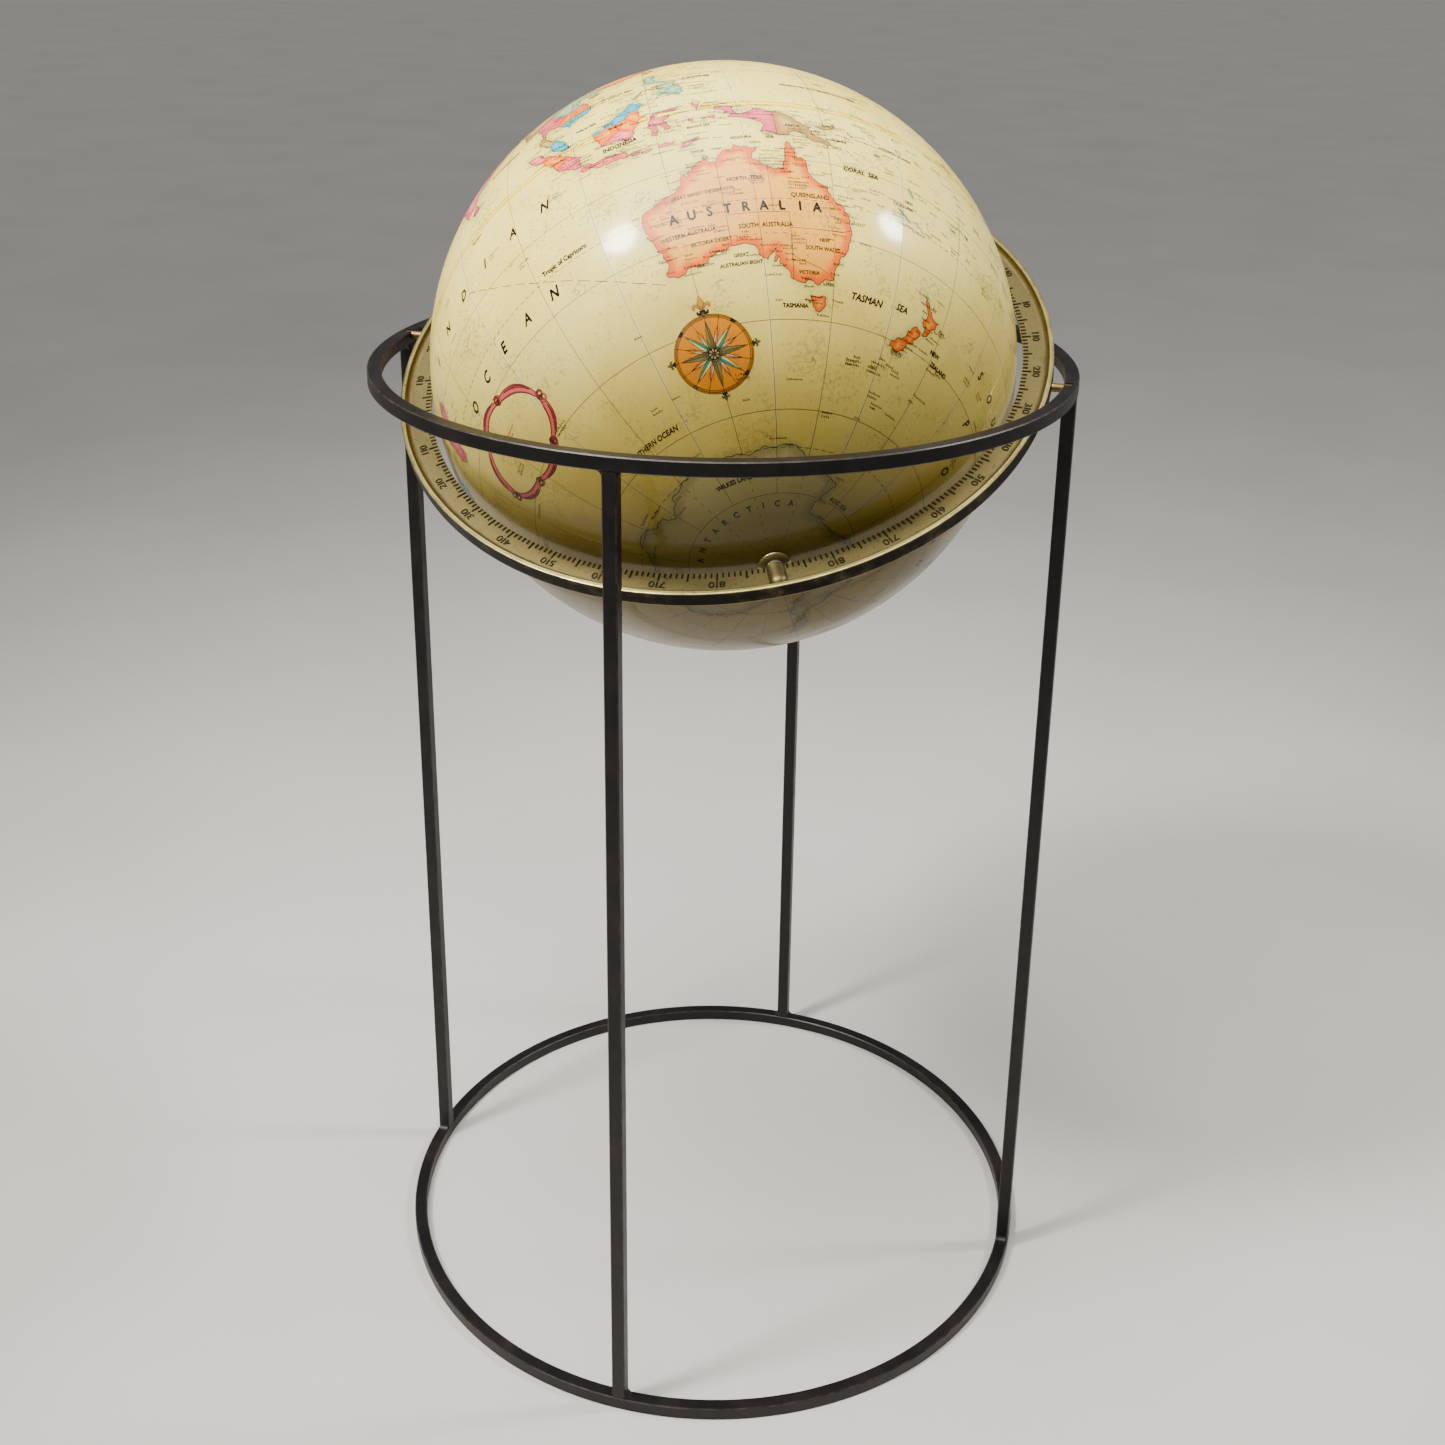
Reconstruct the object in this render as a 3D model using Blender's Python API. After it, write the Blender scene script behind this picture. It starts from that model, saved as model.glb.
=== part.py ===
"""Floor-standing globe: a ball in a full meridian ring that rests by two pins in a four-legged hoop stand.

Metres, +Z up, origin on the floor at the middle of the stand. +X runs along the ring's pivot pins.
"""
import math

import bmesh
import bpy
from mathutils import Matrix, Vector

GAP = 0.0003                     # clearance between pieces that touch
BAR = 0.0095                     # square bar of the stand
BAR_EDGE = 0.0007                # chamfer on the bar's arrises
HOOP_R = 0.2455                  # outer radius of both hoops
HOOP_TOP = 0.7124                # top face of the top hoop
HOOP_SEGMENTS = 72
FILLET = 0.0048                  # size of a weld bead

PIVOT_Z = 0.7092                 # height of the pivot pins and of the ball's centre
PIN_R = 0.0030
SPIGOT_R = 0.0015
RUNNING = 0.00005                # radial clearance of a shaft that turns in its hole
NOTCH_END = 0.2420               # the notches stop here, inside the bar

RING_TILT = math.radians(26.1)   # ring plane, nose down at the front
RING_IN, RING_OUT = 0.2067, 0.2279
WEB_HALF, FLANGE_HALF = 0.0012, 0.00534
FLANGE_IN, COVE_START = 0.2246, 0.2208
RING_SEGMENTS = 72
POLE_ANGLE = math.radians(113.5)  # north pole, measured round the ring from the right pivot
BOSS_HALF_WIDTH, BOSS_HALF_HEIGHT = 0.0060, 0.0052
AXLE_R = 0.0020

SHELL_OUT, SHELL_THICK = 0.2026, 0.0030
PAPER_IN, PAPER_OUT = 0.2029, 0.2040
COLUMNS, ROWS = 48, 9            # facets of one hemisphere
GORE_TURN = math.radians(53.45)  # turn of the printed map on the ball
POLE_HOLE = 0.0060


def clear_scene():
    for item in list(bpy.data.objects):
        bpy.data.objects.remove(item, do_unlink=True)


def material(name, rgb, roughness, metallic=0.0):
    mat = bpy.data.materials.new(name)
    mat.use_nodes = True
    shader = mat.node_tree.nodes["Principled BSDF"]
    shader.inputs["Base Color"].default_value = (*rgb, 1.0)
    shader.inputs["Roughness"].default_value = roughness
    shader.inputs["Metallic"].default_value = metallic
    return mat


def add_mesh(name, bm, mat, parent=None, smooth=False):
    bmesh.ops.recalc_face_normals(bm, faces=bm.faces)
    mesh = bpy.data.meshes.new(name)
    bm.to_mesh(mesh)
    bm.free()
    mesh.materials.append(mat)
    for face in mesh.polygons:
        face.use_smooth = smooth
    item = bpy.data.objects.new(name, mesh)
    item.parent = parent
    bpy.context.scene.collection.objects.link(item)
    return item


def empty(name, location, rotation=(0, 0, 0), parent=None):
    item = bpy.data.objects.new(name, None)
    item.location, item.rotation_euler, item.parent = location, rotation, parent
    bpy.context.scene.collection.objects.link(item)
    return item


def lathe(bm, profile, segments, frame=Matrix.Identity(4)):
    """Turn a closed (radius, height) outline about local Z."""
    rings = []
    for i in range(segments):
        turn = Matrix.Rotation(2 * math.pi * i / segments, 4, "Z")
        rings.append([bm.verts.new(frame @ turn @ Vector((r, 0, z))) for r, z in profile])
    for a, b in zip(rings, rings[1:] + rings[:1]):
        for j in range(len(profile)):
            k = (j + 1) % len(profile)
            bm.faces.new((a[j], b[j], b[k], a[k]))


def rod(bm, profile, segments, frame=Matrix.Identity(4)):
    """Turn an open (radius, height) outline about local Z and close its two ends."""
    rings = [
        [
            bm.verts.new(frame @ Matrix.Rotation(2 * math.pi * i / segments, 4, "Z") @ Vector((r, 0, z)))
            for i in range(segments)
        ]
        for r, z in profile
    ]
    for a, b in zip(rings, rings[1:]):
        for i in range(segments):
            k = (i + 1) % segments
            bm.faces.new((a[i], a[k], b[k], b[i]))
    bm.faces.new(reversed(rings[0]))
    bm.faces.new(rings[-1])


def along(axis, offset=0.0):
    """Frame whose local Z points along the given direction."""
    turn = Vector(axis).to_track_quat("Z", "Y").to_matrix().to_4x4()
    return turn @ Matrix.Translation((0, 0, offset))


def cut(target, cutter):
    cutter.hide_render = True
    cutter.display_type = "WIRE"
    change = target.modifiers.new("cut_" + cutter.name, "BOOLEAN")
    change.operation, change.solver, change.object = "DIFFERENCE", "EXACT", cutter


def join(target, tool):
    tool.hide_render = True
    tool.display_type = "WIRE"
    change = target.modifiers.new("join_" + tool.name, "BOOLEAN")
    change.operation, change.solver, change.object = "UNION", "EXACT", tool


def hoop(name, low, mat, parent):
    inner, high, c = HOOP_R - BAR, low + BAR, BAR_EDGE
    outline = [
        (inner + c, low), (HOOP_R - c, low), (HOOP_R, low + c), (HOOP_R, high - c),
        (HOOP_R - c, high), (inner + c, high), (inner, high - c), (inner, low + c),
    ]
    bm = bmesh.new()
    lathe(bm, outline, HOOP_SEGMENTS)
    return add_mesh(name, bm, mat, parent)


def notch_cutter(side, parent):
    """A slot with a round floor, open upwards and towards the middle of the hoop."""
    radius = PIN_R + GAP
    bm = bmesh.new()
    steps = 12
    outline = [
        (radius * math.cos(math.pi + math.pi * i / steps), radius * math.sin(math.pi + math.pi * i / steps))
        for i in range(steps + 1)
    ]
    outline += [(radius, 0.006), (-radius, 0.006)]
    ends = []
    for x in (0.2300, NOTCH_END):
        ends.append([bm.verts.new((side * x, y, PIVOT_Z + z)) for y, z in outline])
    for j in range(len(outline)):
        k = (j + 1) % len(outline)
        bm.faces.new((ends[0][j], ends[0][k], ends[1][k], ends[1][j]))
    bm.faces.new(ends[0])
    bm.faces.new(ends[1])
    name = "notch_cutter_right" if side > 0 else "notch_cutter_left"
    return add_mesh(name, bm, bpy.data.materials["blackened_steel"], parent)


def weld_bead(side, up, mat, parent):
    """Concave fillet weld in the corner between a leg's side and a hoop."""
    bm = bmesh.new()
    half, steps, start = BAR / 2 - 0.0012, 5, BAR / 2
    low, high = BAR + GAP, HOOP_TOP - BAR - GAP
    level = low if up > 0 else high
    outline = [(start - 0.002, level), (start - 0.002, level + up * (FILLET + 0.0005))]
    for i in range(steps, -1, -1):
        a = math.pi / 2 * i / steps
        outline.append((start + FILLET * (1 - math.sin(a)), level + up * FILLET * (1 - math.cos(a))))
    middle = (low + high) / 2
    ends = [[bm.verts.new((x, side * t, z - middle)) for t, z in outline] for x in (-half, half)]
    for j in range(len(outline)):
        k = (j + 1) % len(outline)
        bm.faces.new((ends[0][j], ends[0][k], ends[1][k], ends[1][j]))
    bm.faces.new(ends[0])
    bm.faces.new(ends[1])
    return add_mesh("bead", bm, mat, parent)


def leg(name, angle, mat, parent):
    """Square upright with the weld beads at its two ends, which are one metal with it."""
    low, high = BAR + GAP, HOOP_TOP - BAR - GAP
    bm = bmesh.new()
    bmesh.ops.create_cube(bm, size=1.0)
    bmesh.ops.scale(bm, vec=(BAR, BAR, high - low), verts=bm.verts)
    item = add_mesh(name, bm, mat, parent)
    middle = HOOP_R - BAR / 2 - 0.0001
    item.location = (middle * math.cos(angle), middle * math.sin(angle), (low + high) / 2)
    item.rotation_euler = (0, 0, angle)
    edges = item.modifiers.new("arrises", "BEVEL")
    edges.width, edges.segments = BAR_EDGE, 1
    for up in (1, -1):
        for side in (1, -1):
            join(item, weld_bead(side, up, mat, item))
    return item


def pivot_pin(name, side, mat, pivot):
    bm = bmesh.new()
    c, end = 0.0005, NOTCH_END - GAP
    outline = [
        (SPIGOT_R, 0.2234), (SPIGOT_R, RING_OUT + GAP), (PIN_R, RING_OUT + GAP),
        (PIN_R, end - c), (PIN_R - c, end),
    ]
    rod(bm, outline, 24, along((side, 0, 0)))
    return add_mesh(name, bm, mat, pivot, smooth=False)


def ring_outline():
    w, f, lip = WEB_HALF, FLANGE_HALF, 0.0006
    upper = [(RING_IN, w - 0.0003), (RING_IN + 0.0003, w), (COVE_START, w)]
    steps = 4
    for i in range(1, steps + 1):
        a = math.pi / 2 * i / steps
        upper.append((
            COVE_START + (FLANGE_IN - COVE_START) * math.sin(a),
            w + (f - lip - w) * (1 - math.cos(a)),
        ))
    upper += [(FLANGE_IN + lip, f), (RING_OUT - 0.0005, f), (RING_OUT, f - 0.0005)]
    return upper + [(r, -z) for r, z in reversed(upper)]


def meridian_ring(mat, tilt):
    bm = bmesh.new()
    lathe(bm, ring_outline(), RING_SEGMENTS)
    ring = add_mesh("meridian_ring", bm, mat, tilt, smooth=False)
    for name, angle in (("north", POLE_ANGLE), ("south", POLE_ANGLE + math.pi)):
        direction = Vector((math.cos(angle), math.sin(angle), 0))
        flatten = Matrix.Scale(BOSS_HALF_HEIGHT / BOSS_HALF_WIDTH, 4, (0, 0, 1))
        bm = bmesh.new()
        dome = [
            (BOSS_HALF_WIDTH * math.cos(a), 0.2190 + BOSS_HALF_WIDTH * math.sin(a))
            for a in (math.radians(d) for d in (0, 20, 40, 60, 78))
        ]
        start = RING_IN + 0.0001
        rod(bm, [(BOSS_HALF_WIDTH - 0.0004, start), (BOSS_HALF_WIDTH, start + 0.0004)] + dome, 24,
            flatten @ along(direction))
        join(ring, add_mesh(name + "_boss", bm, mat, tilt))
        bm = bmesh.new()
        rod(bm, [(AXLE_R + GAP, 0.2040), (AXLE_R + GAP, 0.2300)], 24, along(direction))
        cut(ring, add_mesh(name + "_axle_hole", bm, mat, tilt))
    for name, side in (("right", 1), ("left", -1)):
        bm = bmesh.new()
        rod(bm, [(SPIGOT_R + RUNNING, 0.2230), (SPIGOT_R + RUNNING, 0.2300)], 24, along((side, 0, 0)))
        cut(ring, add_mesh(name + "_pivot_hole", bm, mat, tilt))
    return ring


def pole_pin(name, direction, mat, tilt):
    bm = bmesh.new()
    c = 0.0004
    rod(bm, [(AXLE_R - c, 0.1890), (AXLE_R, 0.1894), (AXLE_R, 0.2279), (AXLE_R - c, 0.2282)], 24,
        along(direction))
    return add_mesh(name, bm, mat, tilt, smooth=False)


def washer(name, direction, mat, tilt):
    bm = bmesh.new()
    lathe(bm, [(0.0023, 0.2059), (0.0050, 0.2059), (0.0050, 0.20625), (0.0023, 0.20625)], 24, along(direction))
    return add_mesh(name, bm, mat, tilt)


def shell_point(radius, column, row, sign):
    """Vertex of the ball's facet grid; the last row sits on the rim of the pole hole."""
    longitude = 2 * math.pi * column / COLUMNS
    latitude = math.pi / 2 * row / ROWS
    if row == ROWS:
        latitude = math.acos(POLE_HOLE / radius)
    flat = radius * math.cos(latitude)
    return Vector((flat * math.cos(longitude), flat * math.sin(longitude), sign * radius * math.sin(latitude)))


def half_shell(name, sign, outer, inner, mat, axis):
    """Half of a hollow ball, with a round hole at its pole."""
    bm = bmesh.new()
    skins = []
    for radius in (outer, inner):
        grid = []
        for row in range(ROWS + 1):
            line = []
            for column in range(COLUMNS):
                point = shell_point(radius, column, row, sign)
                if row == 0:
                    point.z = sign * GAP / 2
                line.append(bm.verts.new(point))
            grid.append(line)
        skins.append(grid)
        for a, b in zip(grid, grid[1:]):
            for i in range(COLUMNS):
                k = (i + 1) % COLUMNS
                bm.faces.new((a[i], a[k], b[k], b[i]))
    for row in (0, ROWS):
        a, b = skins[0][row], skins[1][row]
        for i in range(COLUMNS):
            k = (i + 1) % COLUMNS
            bm.faces.new((a[i], a[k], b[k], b[i]))
    return add_mesh(name, bm, mat, axis, smooth=True)


def pole_fittings(word, sign, wood, brass, axis):
    """Plug inside the shell and domed ferrule outside it, both bored for the pole pin."""
    bm = bmesh.new()
    bore = AXLE_R + RUNNING
    lathe(bm, [
        (0.0001, 0.1800), (0.0062, 0.1800), (0.0062, 0.1935), (0.0200, 0.1935), (0.0200, 0.1977),
        (0.0056, 0.1979), (0.0056, 0.2032), (bore, 0.2032), (bore, 0.1880), (0.0001, 0.1880),
    ], 24, along((0, 0, sign)))
    bmesh.ops.remove_doubles(bm, verts=bm.verts, dist=0.00009)
    add_mesh("pole_plug_" + word, bm, wood, axis)
    bm = bmesh.new()
    hole = AXLE_R + GAP
    lathe(bm, [
        (hole, 0.2042), (0.0103, 0.2042), (0.0105, 0.2045), (0.0099, 0.2051), (0.0085, 0.20545),
        (0.0062, 0.2057), (hole, 0.20575),
    ], 32, along((0, 0, sign)))
    add_mesh("pole_ferrule_" + word, bm, brass, axis, smooth=False)


def joining_band(mat, axis):
    bm = bmesh.new()
    lathe(bm, [(0.1963, -0.012), (0.1983, -0.012), (0.1983, 0.012), (0.1963, 0.012)], COLUMNS)
    return add_mesh("joining_band", bm, mat, axis)


def equator_tape(mat, axis):
    bm = bmesh.new()
    lathe(bm, [(0.2043, -0.0035), (0.2046, -0.0035), (0.2046, 0.0035), (0.2043, 0.0035)], COLUMNS)
    return add_mesh("equator_tape", bm, mat, axis)


def axis_tube(mat, axis):
    bm = bmesh.new()
    lathe(bm, [(0.0065, -0.1932), (0.0080, -0.1932), (0.0080, 0.1932), (0.0065, 0.1932)], 32)
    return add_mesh("axis_tube", bm, mat, axis)


def build_stand():
    steel = material("blackened_steel", (0.030, 0.024, 0.018), 0.42, 0.6)
    stand = empty("stand", (0, 0, 0))
    top = hoop("top_hoop", HOOP_TOP - BAR, steel, stand)
    for side in (1, -1):
        cut(top, notch_cutter(side, stand))
    hoop("base_hoop", 0.0, steel, stand)
    for name, degrees in (("right", 0), ("back", 90), ("left", 180), ("front", 270)):
        leg("leg_" + name, math.radians(degrees), steel, stand)


def build_ring_and_ball():
    brass = material("antique_brass", (0.24, 0.20, 0.11), 0.45, 0.9)
    pin_brass = material("pin_brass", (0.20, 0.17, 0.10), 0.4, 0.9)
    ferrule_brass = material("ferrule_brass", (0.22, 0.20, 0.12), 0.45, 0.9)
    nylon = material("pale_nylon", (0.55, 0.52, 0.45), 0.5)
    board = material("grey_chipboard", (0.36, 0.33, 0.28), 0.9)
    paper = material("varnished_paper", (0.62, 0.52, 0.30), 0.25)
    tape = material("printed_tape", (0.66, 0.53, 0.18), 0.3)
    tube = material("card_tube", (0.42, 0.33, 0.22), 0.9)
    wood = material("turned_beech", (0.50, 0.34, 0.19), 0.6)

    pivot = empty("ring_pivot", (0, 0, PIVOT_Z))
    pivot_pin("pivot_pin_right", 1, pin_brass, pivot)
    pivot_pin("pivot_pin_left", -1, pin_brass, pivot)

    tilt = empty("ring_tilt", (0, 0, 0), (RING_TILT, 0, 0), pivot)
    meridian_ring(brass, tilt)
    north = Vector((math.cos(POLE_ANGLE), math.sin(POLE_ANGLE), 0))
    for word, direction in (("north", north), ("south", -north)):
        pole_pin("pole_pin_" + word, direction, pin_brass, tilt)
        washer("pole_washer_" + word, direction, nylon, tilt)

    lean = empty("globe_lean", (0, 0, 0), (0, math.pi / 2, POLE_ANGLE), tilt)
    axis = empty("globe_axis", (0, 0, 0), (0, 0, GORE_TURN), lean)
    for word, sign in (("north", 1), ("south", -1)):
        half_shell(word + "_hemisphere", sign, SHELL_OUT, SHELL_OUT - SHELL_THICK, board, axis)
        half_shell(word + "_map_gores", sign, PAPER_OUT, PAPER_IN, paper, axis)
        pole_fittings(word, sign, wood, ferrule_brass, axis)
    equator_tape(tape, axis)
    joining_band(board, axis)
    axis_tube(tube, axis)


clear_scene()
build_stand()
build_ring_and_ball()
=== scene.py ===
"""A library globe on a floor stand: a papered ball in a brass ring, hung in a blackened steel frame."""
import math
import random

import bmesh
import bpy
import numpy as np
from mathutils import Matrix, Vector, geometry, kdtree


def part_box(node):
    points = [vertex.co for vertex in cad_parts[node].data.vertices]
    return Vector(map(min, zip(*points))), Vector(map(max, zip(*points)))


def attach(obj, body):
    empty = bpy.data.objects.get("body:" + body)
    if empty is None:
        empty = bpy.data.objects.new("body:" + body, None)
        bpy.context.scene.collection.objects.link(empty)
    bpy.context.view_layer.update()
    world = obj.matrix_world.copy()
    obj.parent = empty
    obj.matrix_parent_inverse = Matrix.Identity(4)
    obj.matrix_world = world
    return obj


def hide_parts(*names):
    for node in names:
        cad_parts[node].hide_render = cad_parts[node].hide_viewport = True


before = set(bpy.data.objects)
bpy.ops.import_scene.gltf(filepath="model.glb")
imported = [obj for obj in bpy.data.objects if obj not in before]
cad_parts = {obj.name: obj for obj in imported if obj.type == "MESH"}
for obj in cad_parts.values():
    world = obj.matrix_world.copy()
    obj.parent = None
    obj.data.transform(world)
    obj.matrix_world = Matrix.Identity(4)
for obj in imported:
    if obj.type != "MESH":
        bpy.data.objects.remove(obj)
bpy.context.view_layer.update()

# --- Viewpoint -------------------------------------------------------------------------------------------
# A standing adult looks down at the globe from a little to the right of its front leg, about 1.25 m away.
camera_data = bpy.data.cameras.new("viewpoint")
camera_data.lens, camera_data.shift_y = 45.4, -0.12
camera = bpy.data.objects.new("viewpoint", camera_data)
bpy.context.scene.collection.objects.link(camera)
EYE = (0.3337, -1.1966, 1.0301)
heading, pitch, roll = math.radians(15.535), math.radians(90 - 20.398), math.radians(0.721)
camera.matrix_world = (
    Matrix.Translation(EYE)
    @ Matrix.Rotation(heading, 4, "Z") @ Matrix.Rotation(pitch, 4, "X") @ Matrix.Rotation(roll, 4, "Z")
)
bpy.context.scene.camera = camera

# --- Studio ----------------------------------------------------------------------------------------------
# A plain pale floor under soft lamps: one high on the left and one behind on the right give the two small
# highlights on the varnish, and broad weak ones overhead and in front fill the shade.


def linear(hex_colour):
    """An sRGB hex colour as linear red, green, blue and alpha."""
    channels = [int(hex_colour[i:i + 2], 16) / 255 for i in (1, 3, 5)]
    return [c / 12.92 if c <= 0.04045 else ((c + 0.055) / 1.055) ** 2.4 for c in channels] + [1.0]


def feed(tree, item, inputs):
    """Set a node's inputs: each takes a value, or a socket or node that feeds it."""
    for key, value in inputs.items():
        socket = item.inputs[key] if isinstance(key, int) else next(
            s for s in item.inputs if s.enabled and s.name == key)
        if isinstance(value, bpy.types.Node):
            value = next(s for s in value.outputs if s.enabled)
        if isinstance(value, bpy.types.NodeSocket):
            tree.links.new(value, socket)
        else:
            socket.default_value = value


def add_node(tree, kind, inputs=None, **settings):
    """Add a node with its settings and inputs; "stops" fill a colour ramp."""
    item = tree.nodes.new(kind)
    stops = settings.pop("stops", None)
    for key, value in settings.items():
        setattr(item, key, value)
    if stops:
        ramp = item.color_ramp.elements
        while len(ramp) < len(stops):
            ramp.new(1.0)
        for element, (place, colour) in zip(ramp, stops):
            element.position, element.color = place, linear(colour)
    feed(tree, item, inputs or {})
    return item


def new_material(name):
    """An empty material: its tree, its Principled shader and its Object coordinates."""
    mat = bpy.data.materials.new(name)
    mat.use_nodes = True
    tree = mat.node_tree
    place = add_node(tree, "ShaderNodeTexCoord").outputs["Object"]
    return mat, tree, tree.nodes["Principled BSDF"], place


def place_mesh(name, points, faces, material, smooth_angle=None, attributes=None):
    """A finished piece at the origin, from points in metres; attributes are one number a point."""
    mesh = bpy.data.meshes.new(name)
    mesh.from_pydata([tuple(p) for p in points], [], faces)
    mesh.materials.append(material)
    for key, values in (attributes or {}).items():
        mesh.attributes.new(key, "FLOAT", "POINT").data.foreach_set("value", list(values))
    if smooth_angle:
        mesh.shade_smooth()
        mesh.set_sharp_from_angle(angle=math.radians(smooth_angle))
    item = bpy.data.objects.new(name, mesh)
    bpy.context.scene.collection.objects.link(item)
    return item


# Sealed pale concrete, almost plain.
floor_paint, tree, shader, place = new_material("pale_studio_floor")
cloud = add_node(tree, "ShaderNodeTexNoise", {"Vector": place, "Scale": 3.0, "Detail": 3.0})
tone = add_node(tree, "ShaderNodeValToRGB", {"Fac": cloud}, stops=[(0.3, "#b9b5ad"), (0.7, "#c0bcb4")])
feed(tree, shader, {"Base Color": tone.outputs["Color"], "Roughness": 0.6})
REACH = 30.0                          # from the middle of the floor to its edges
floor = place_mesh("studio_floor", [(x, y, 0) for x, y in (
    (-REACH, -REACH), (REACH, -REACH), (REACH, REACH), (-REACH, REACH))], [(0, 1, 2, 3)], floor_paint)

ball_centre = Vector((0, 0, sum(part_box("pivot_pin_right")[i].z for i in (0, 1)) / 2))
for name, direction, distance, size, power in (
    ("lamp_left", (-0.444, -0.486, 0.753), 2.4, 0.42, 19),
    ("lamp_right", (0.731, 0.247, 0.636), 2.4, 0.34, 9),
    ("lamp_top", (-0.12, -0.22, 0.97), 1.7, 1.5, 14),
    ("lamp_fill", (-0.30, -0.78, 0.50), 3.0, 2.4, 6),
):
    lamp_data = bpy.data.lights.new(name, "AREA")
    lamp_data.spread = math.radians(80)
    lamp_data.shape, lamp_data.size, lamp_data.energy = "DISK", size, power
    lamp = bpy.data.objects.new(name, lamp_data)
    towards = Vector(direction).normalized()
    turn = towards.to_track_quat("Z", "Y").to_matrix().to_4x4()
    lamp.matrix_world = Matrix.Translation(ball_centre + towards * distance) @ turn
    bpy.context.scene.collection.objects.link(lamp)
# An even light from the whole ceiling keeps the floor pale far behind the object.
sky_data = bpy.data.lights.new("lamp_ceiling", "SUN")
sky_data.energy, sky_data.angle = 1.2, math.radians(80)
bpy.context.scene.collection.objects.link(bpy.data.objects.new("lamp_ceiling", sky_data))
room = bpy.data.worlds.new("studio_room")
bpy.context.scene.world = room
room.use_nodes = True
feed(room.node_tree, room.node_tree.nodes["Background"], {"Color": linear("#d9dbe0"), "Strength": 0.20})

# --- Base hoop -------------------------------------------------------------------------------------------
# The foot of the stand: 9.5 mm square mild steel bar rolled into a hoop and closed with a ground weld,
# under a thin blackened-bronze paint that is rubbed to brown on the arrises.
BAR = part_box("base_hoop")[1].z
HOOP_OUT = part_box("base_hoop")[1].x
ARRIS = 0.0007                        # the rolled bar's chamfer
WORN = 0.0009                         # how far rubbing reaches in from an arris
HOOP_STEPS = 288


def painted_steel(name):
    """Oil-rubbed blackened paint on hot-rolled bar: satin, cloudy brown-black, with a fine orange peel."""
    mat, tree, shader, place = new_material(name)
    cloud = add_node(tree, "ShaderNodeTexNoise",
                     {"Vector": place, "Scale": 38.0, "Detail": 5.0, "Roughness": 0.62})
    paint = add_node(tree, "ShaderNodeValToRGB", {"Fac": cloud}, stops=[
        (0.30, "#080605"), (0.50, "#0e0b09"), (0.62, "#16110e"), (0.78, "#231a15")])
    rub = add_node(tree, "ShaderNodeAttribute", attribute_name="worn")
    grit = add_node(tree, "ShaderNodeTexNoise", {"Vector": place, "Scale": 160.0, "Detail": 4.0})
    patchy = add_node(tree, "ShaderNodeMath", {0: rub.outputs["Fac"], 1: grit}, operation="MULTIPLY")
    bare = add_node(tree, "ShaderNodeMapRange", {"Value": patchy, "From Min": 0.36, "From Max": 0.70})
    colour = add_node(tree, "ShaderNodeMix", {
        "Factor": bare, "A": paint.outputs["Color"], "B": linear("#382d26")}, data_type="RGBA")
    gloss = add_node(tree, "ShaderNodeMapRange", {"Value": cloud, "To Min": 0.30, "To Max": 0.52})
    # Brush and roller texture about 1.5 mm across, 0.05 mm deep.
    skin = add_node(tree, "ShaderNodeTexNoise", {"Vector": place, "Scale": 650.0, "Detail": 3.0})
    bump = add_node(tree, "ShaderNodeBump", {"Height": skin, "Distance": 0.00005, "Strength": 0.5})
    feed(tree, shader, {"Base Color": colour.outputs[2], "Roughness": gloss, "Metallic": 0.1,
                        "Specular IOR Level": 0.35, "Normal": bump})
    return mat


def turned(profile, steps, turn=Matrix.Identity(4), closed=True):
    """Points, faces and worn values of a (radius, height, worn) outline turned about local Z.
    The outline runs anticlockwise seen with Z up and the radius to the right; an open one gets a flat cap
    at each end."""
    points, worn, faces = [], [], []
    n = len(profile)
    for i in range(steps):
        a = 2 * math.pi * i / steps
        for r, z, w in profile:
            points.append(turn @ Vector((r * math.cos(a), r * math.sin(a), z)))
            worn.append(w)
    for i in range(steps):
        k = (i + 1) % steps
        for j in range(n if closed else n - 1):
            m = (j + 1) % n
            faces.append((i * n + j, k * n + j, k * n + m, i * n + m))
    if not closed:
        faces.append([i * n for i in reversed(range(steps))])
        faces.append([i * n + n - 1 for i in range(steps)])
    return points, faces, worn


def bar_outline(inner, outer, low, high):
    """Square bar with chamfered arrises: every chamfer point is worn, and the wear ends just inside it."""
    c, w = ARRIS, ARRIS + WORN
    return [
        (inner + c, low, 1), (inner + w, low, 0), (outer - w, low, 0), (outer - c, low, 1),
        (outer, low + c, 1), (outer, low + w, 0), (outer, high - w, 0), (outer, high - c, 1),
        (outer - c, high, 1), (outer - w, high, 0), (inner + w, high, 0), (inner + c, high, 1),
        (inner, high - c, 1), (inner, high - w, 0), (inner, low + w, 0), (inner, low + c, 1),
    ]


stand_paint = painted_steel("blackened_bronze_paint_on_steel")
points, faces, worn = turned(bar_outline(HOOP_OUT - BAR, HOOP_OUT, 0.0, BAR), HOOP_STEPS)
base_hoop = place_mesh("base_hoop_bar", points, faces, stand_paint, 30, {"worn": worn})
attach(base_hoop, "stand")
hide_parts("base_hoop")

# --- Top hoop --------------------------------------------------------------------------------------------
# The same bar and the same size of hoop. Two half-round notches are filed into its top face on the left
# and right, and the ring's pins lie in them.
hoop_low, hoop_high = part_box("top_hoop")[0].z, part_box("top_hoop")[1].z
NOTCH_R = 0.0033
NOTCH_START, NOTCH_END = 0.230, 0.2420
CLEAR = 0.01                          # the file's cut runs this far up, out of the bar


def baked(item):
    """An object's mesh as its modifiers or its curve make it."""
    return bpy.data.meshes.new_from_object(item.evaluated_get(bpy.context.evaluated_depsgraph_get()))


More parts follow.
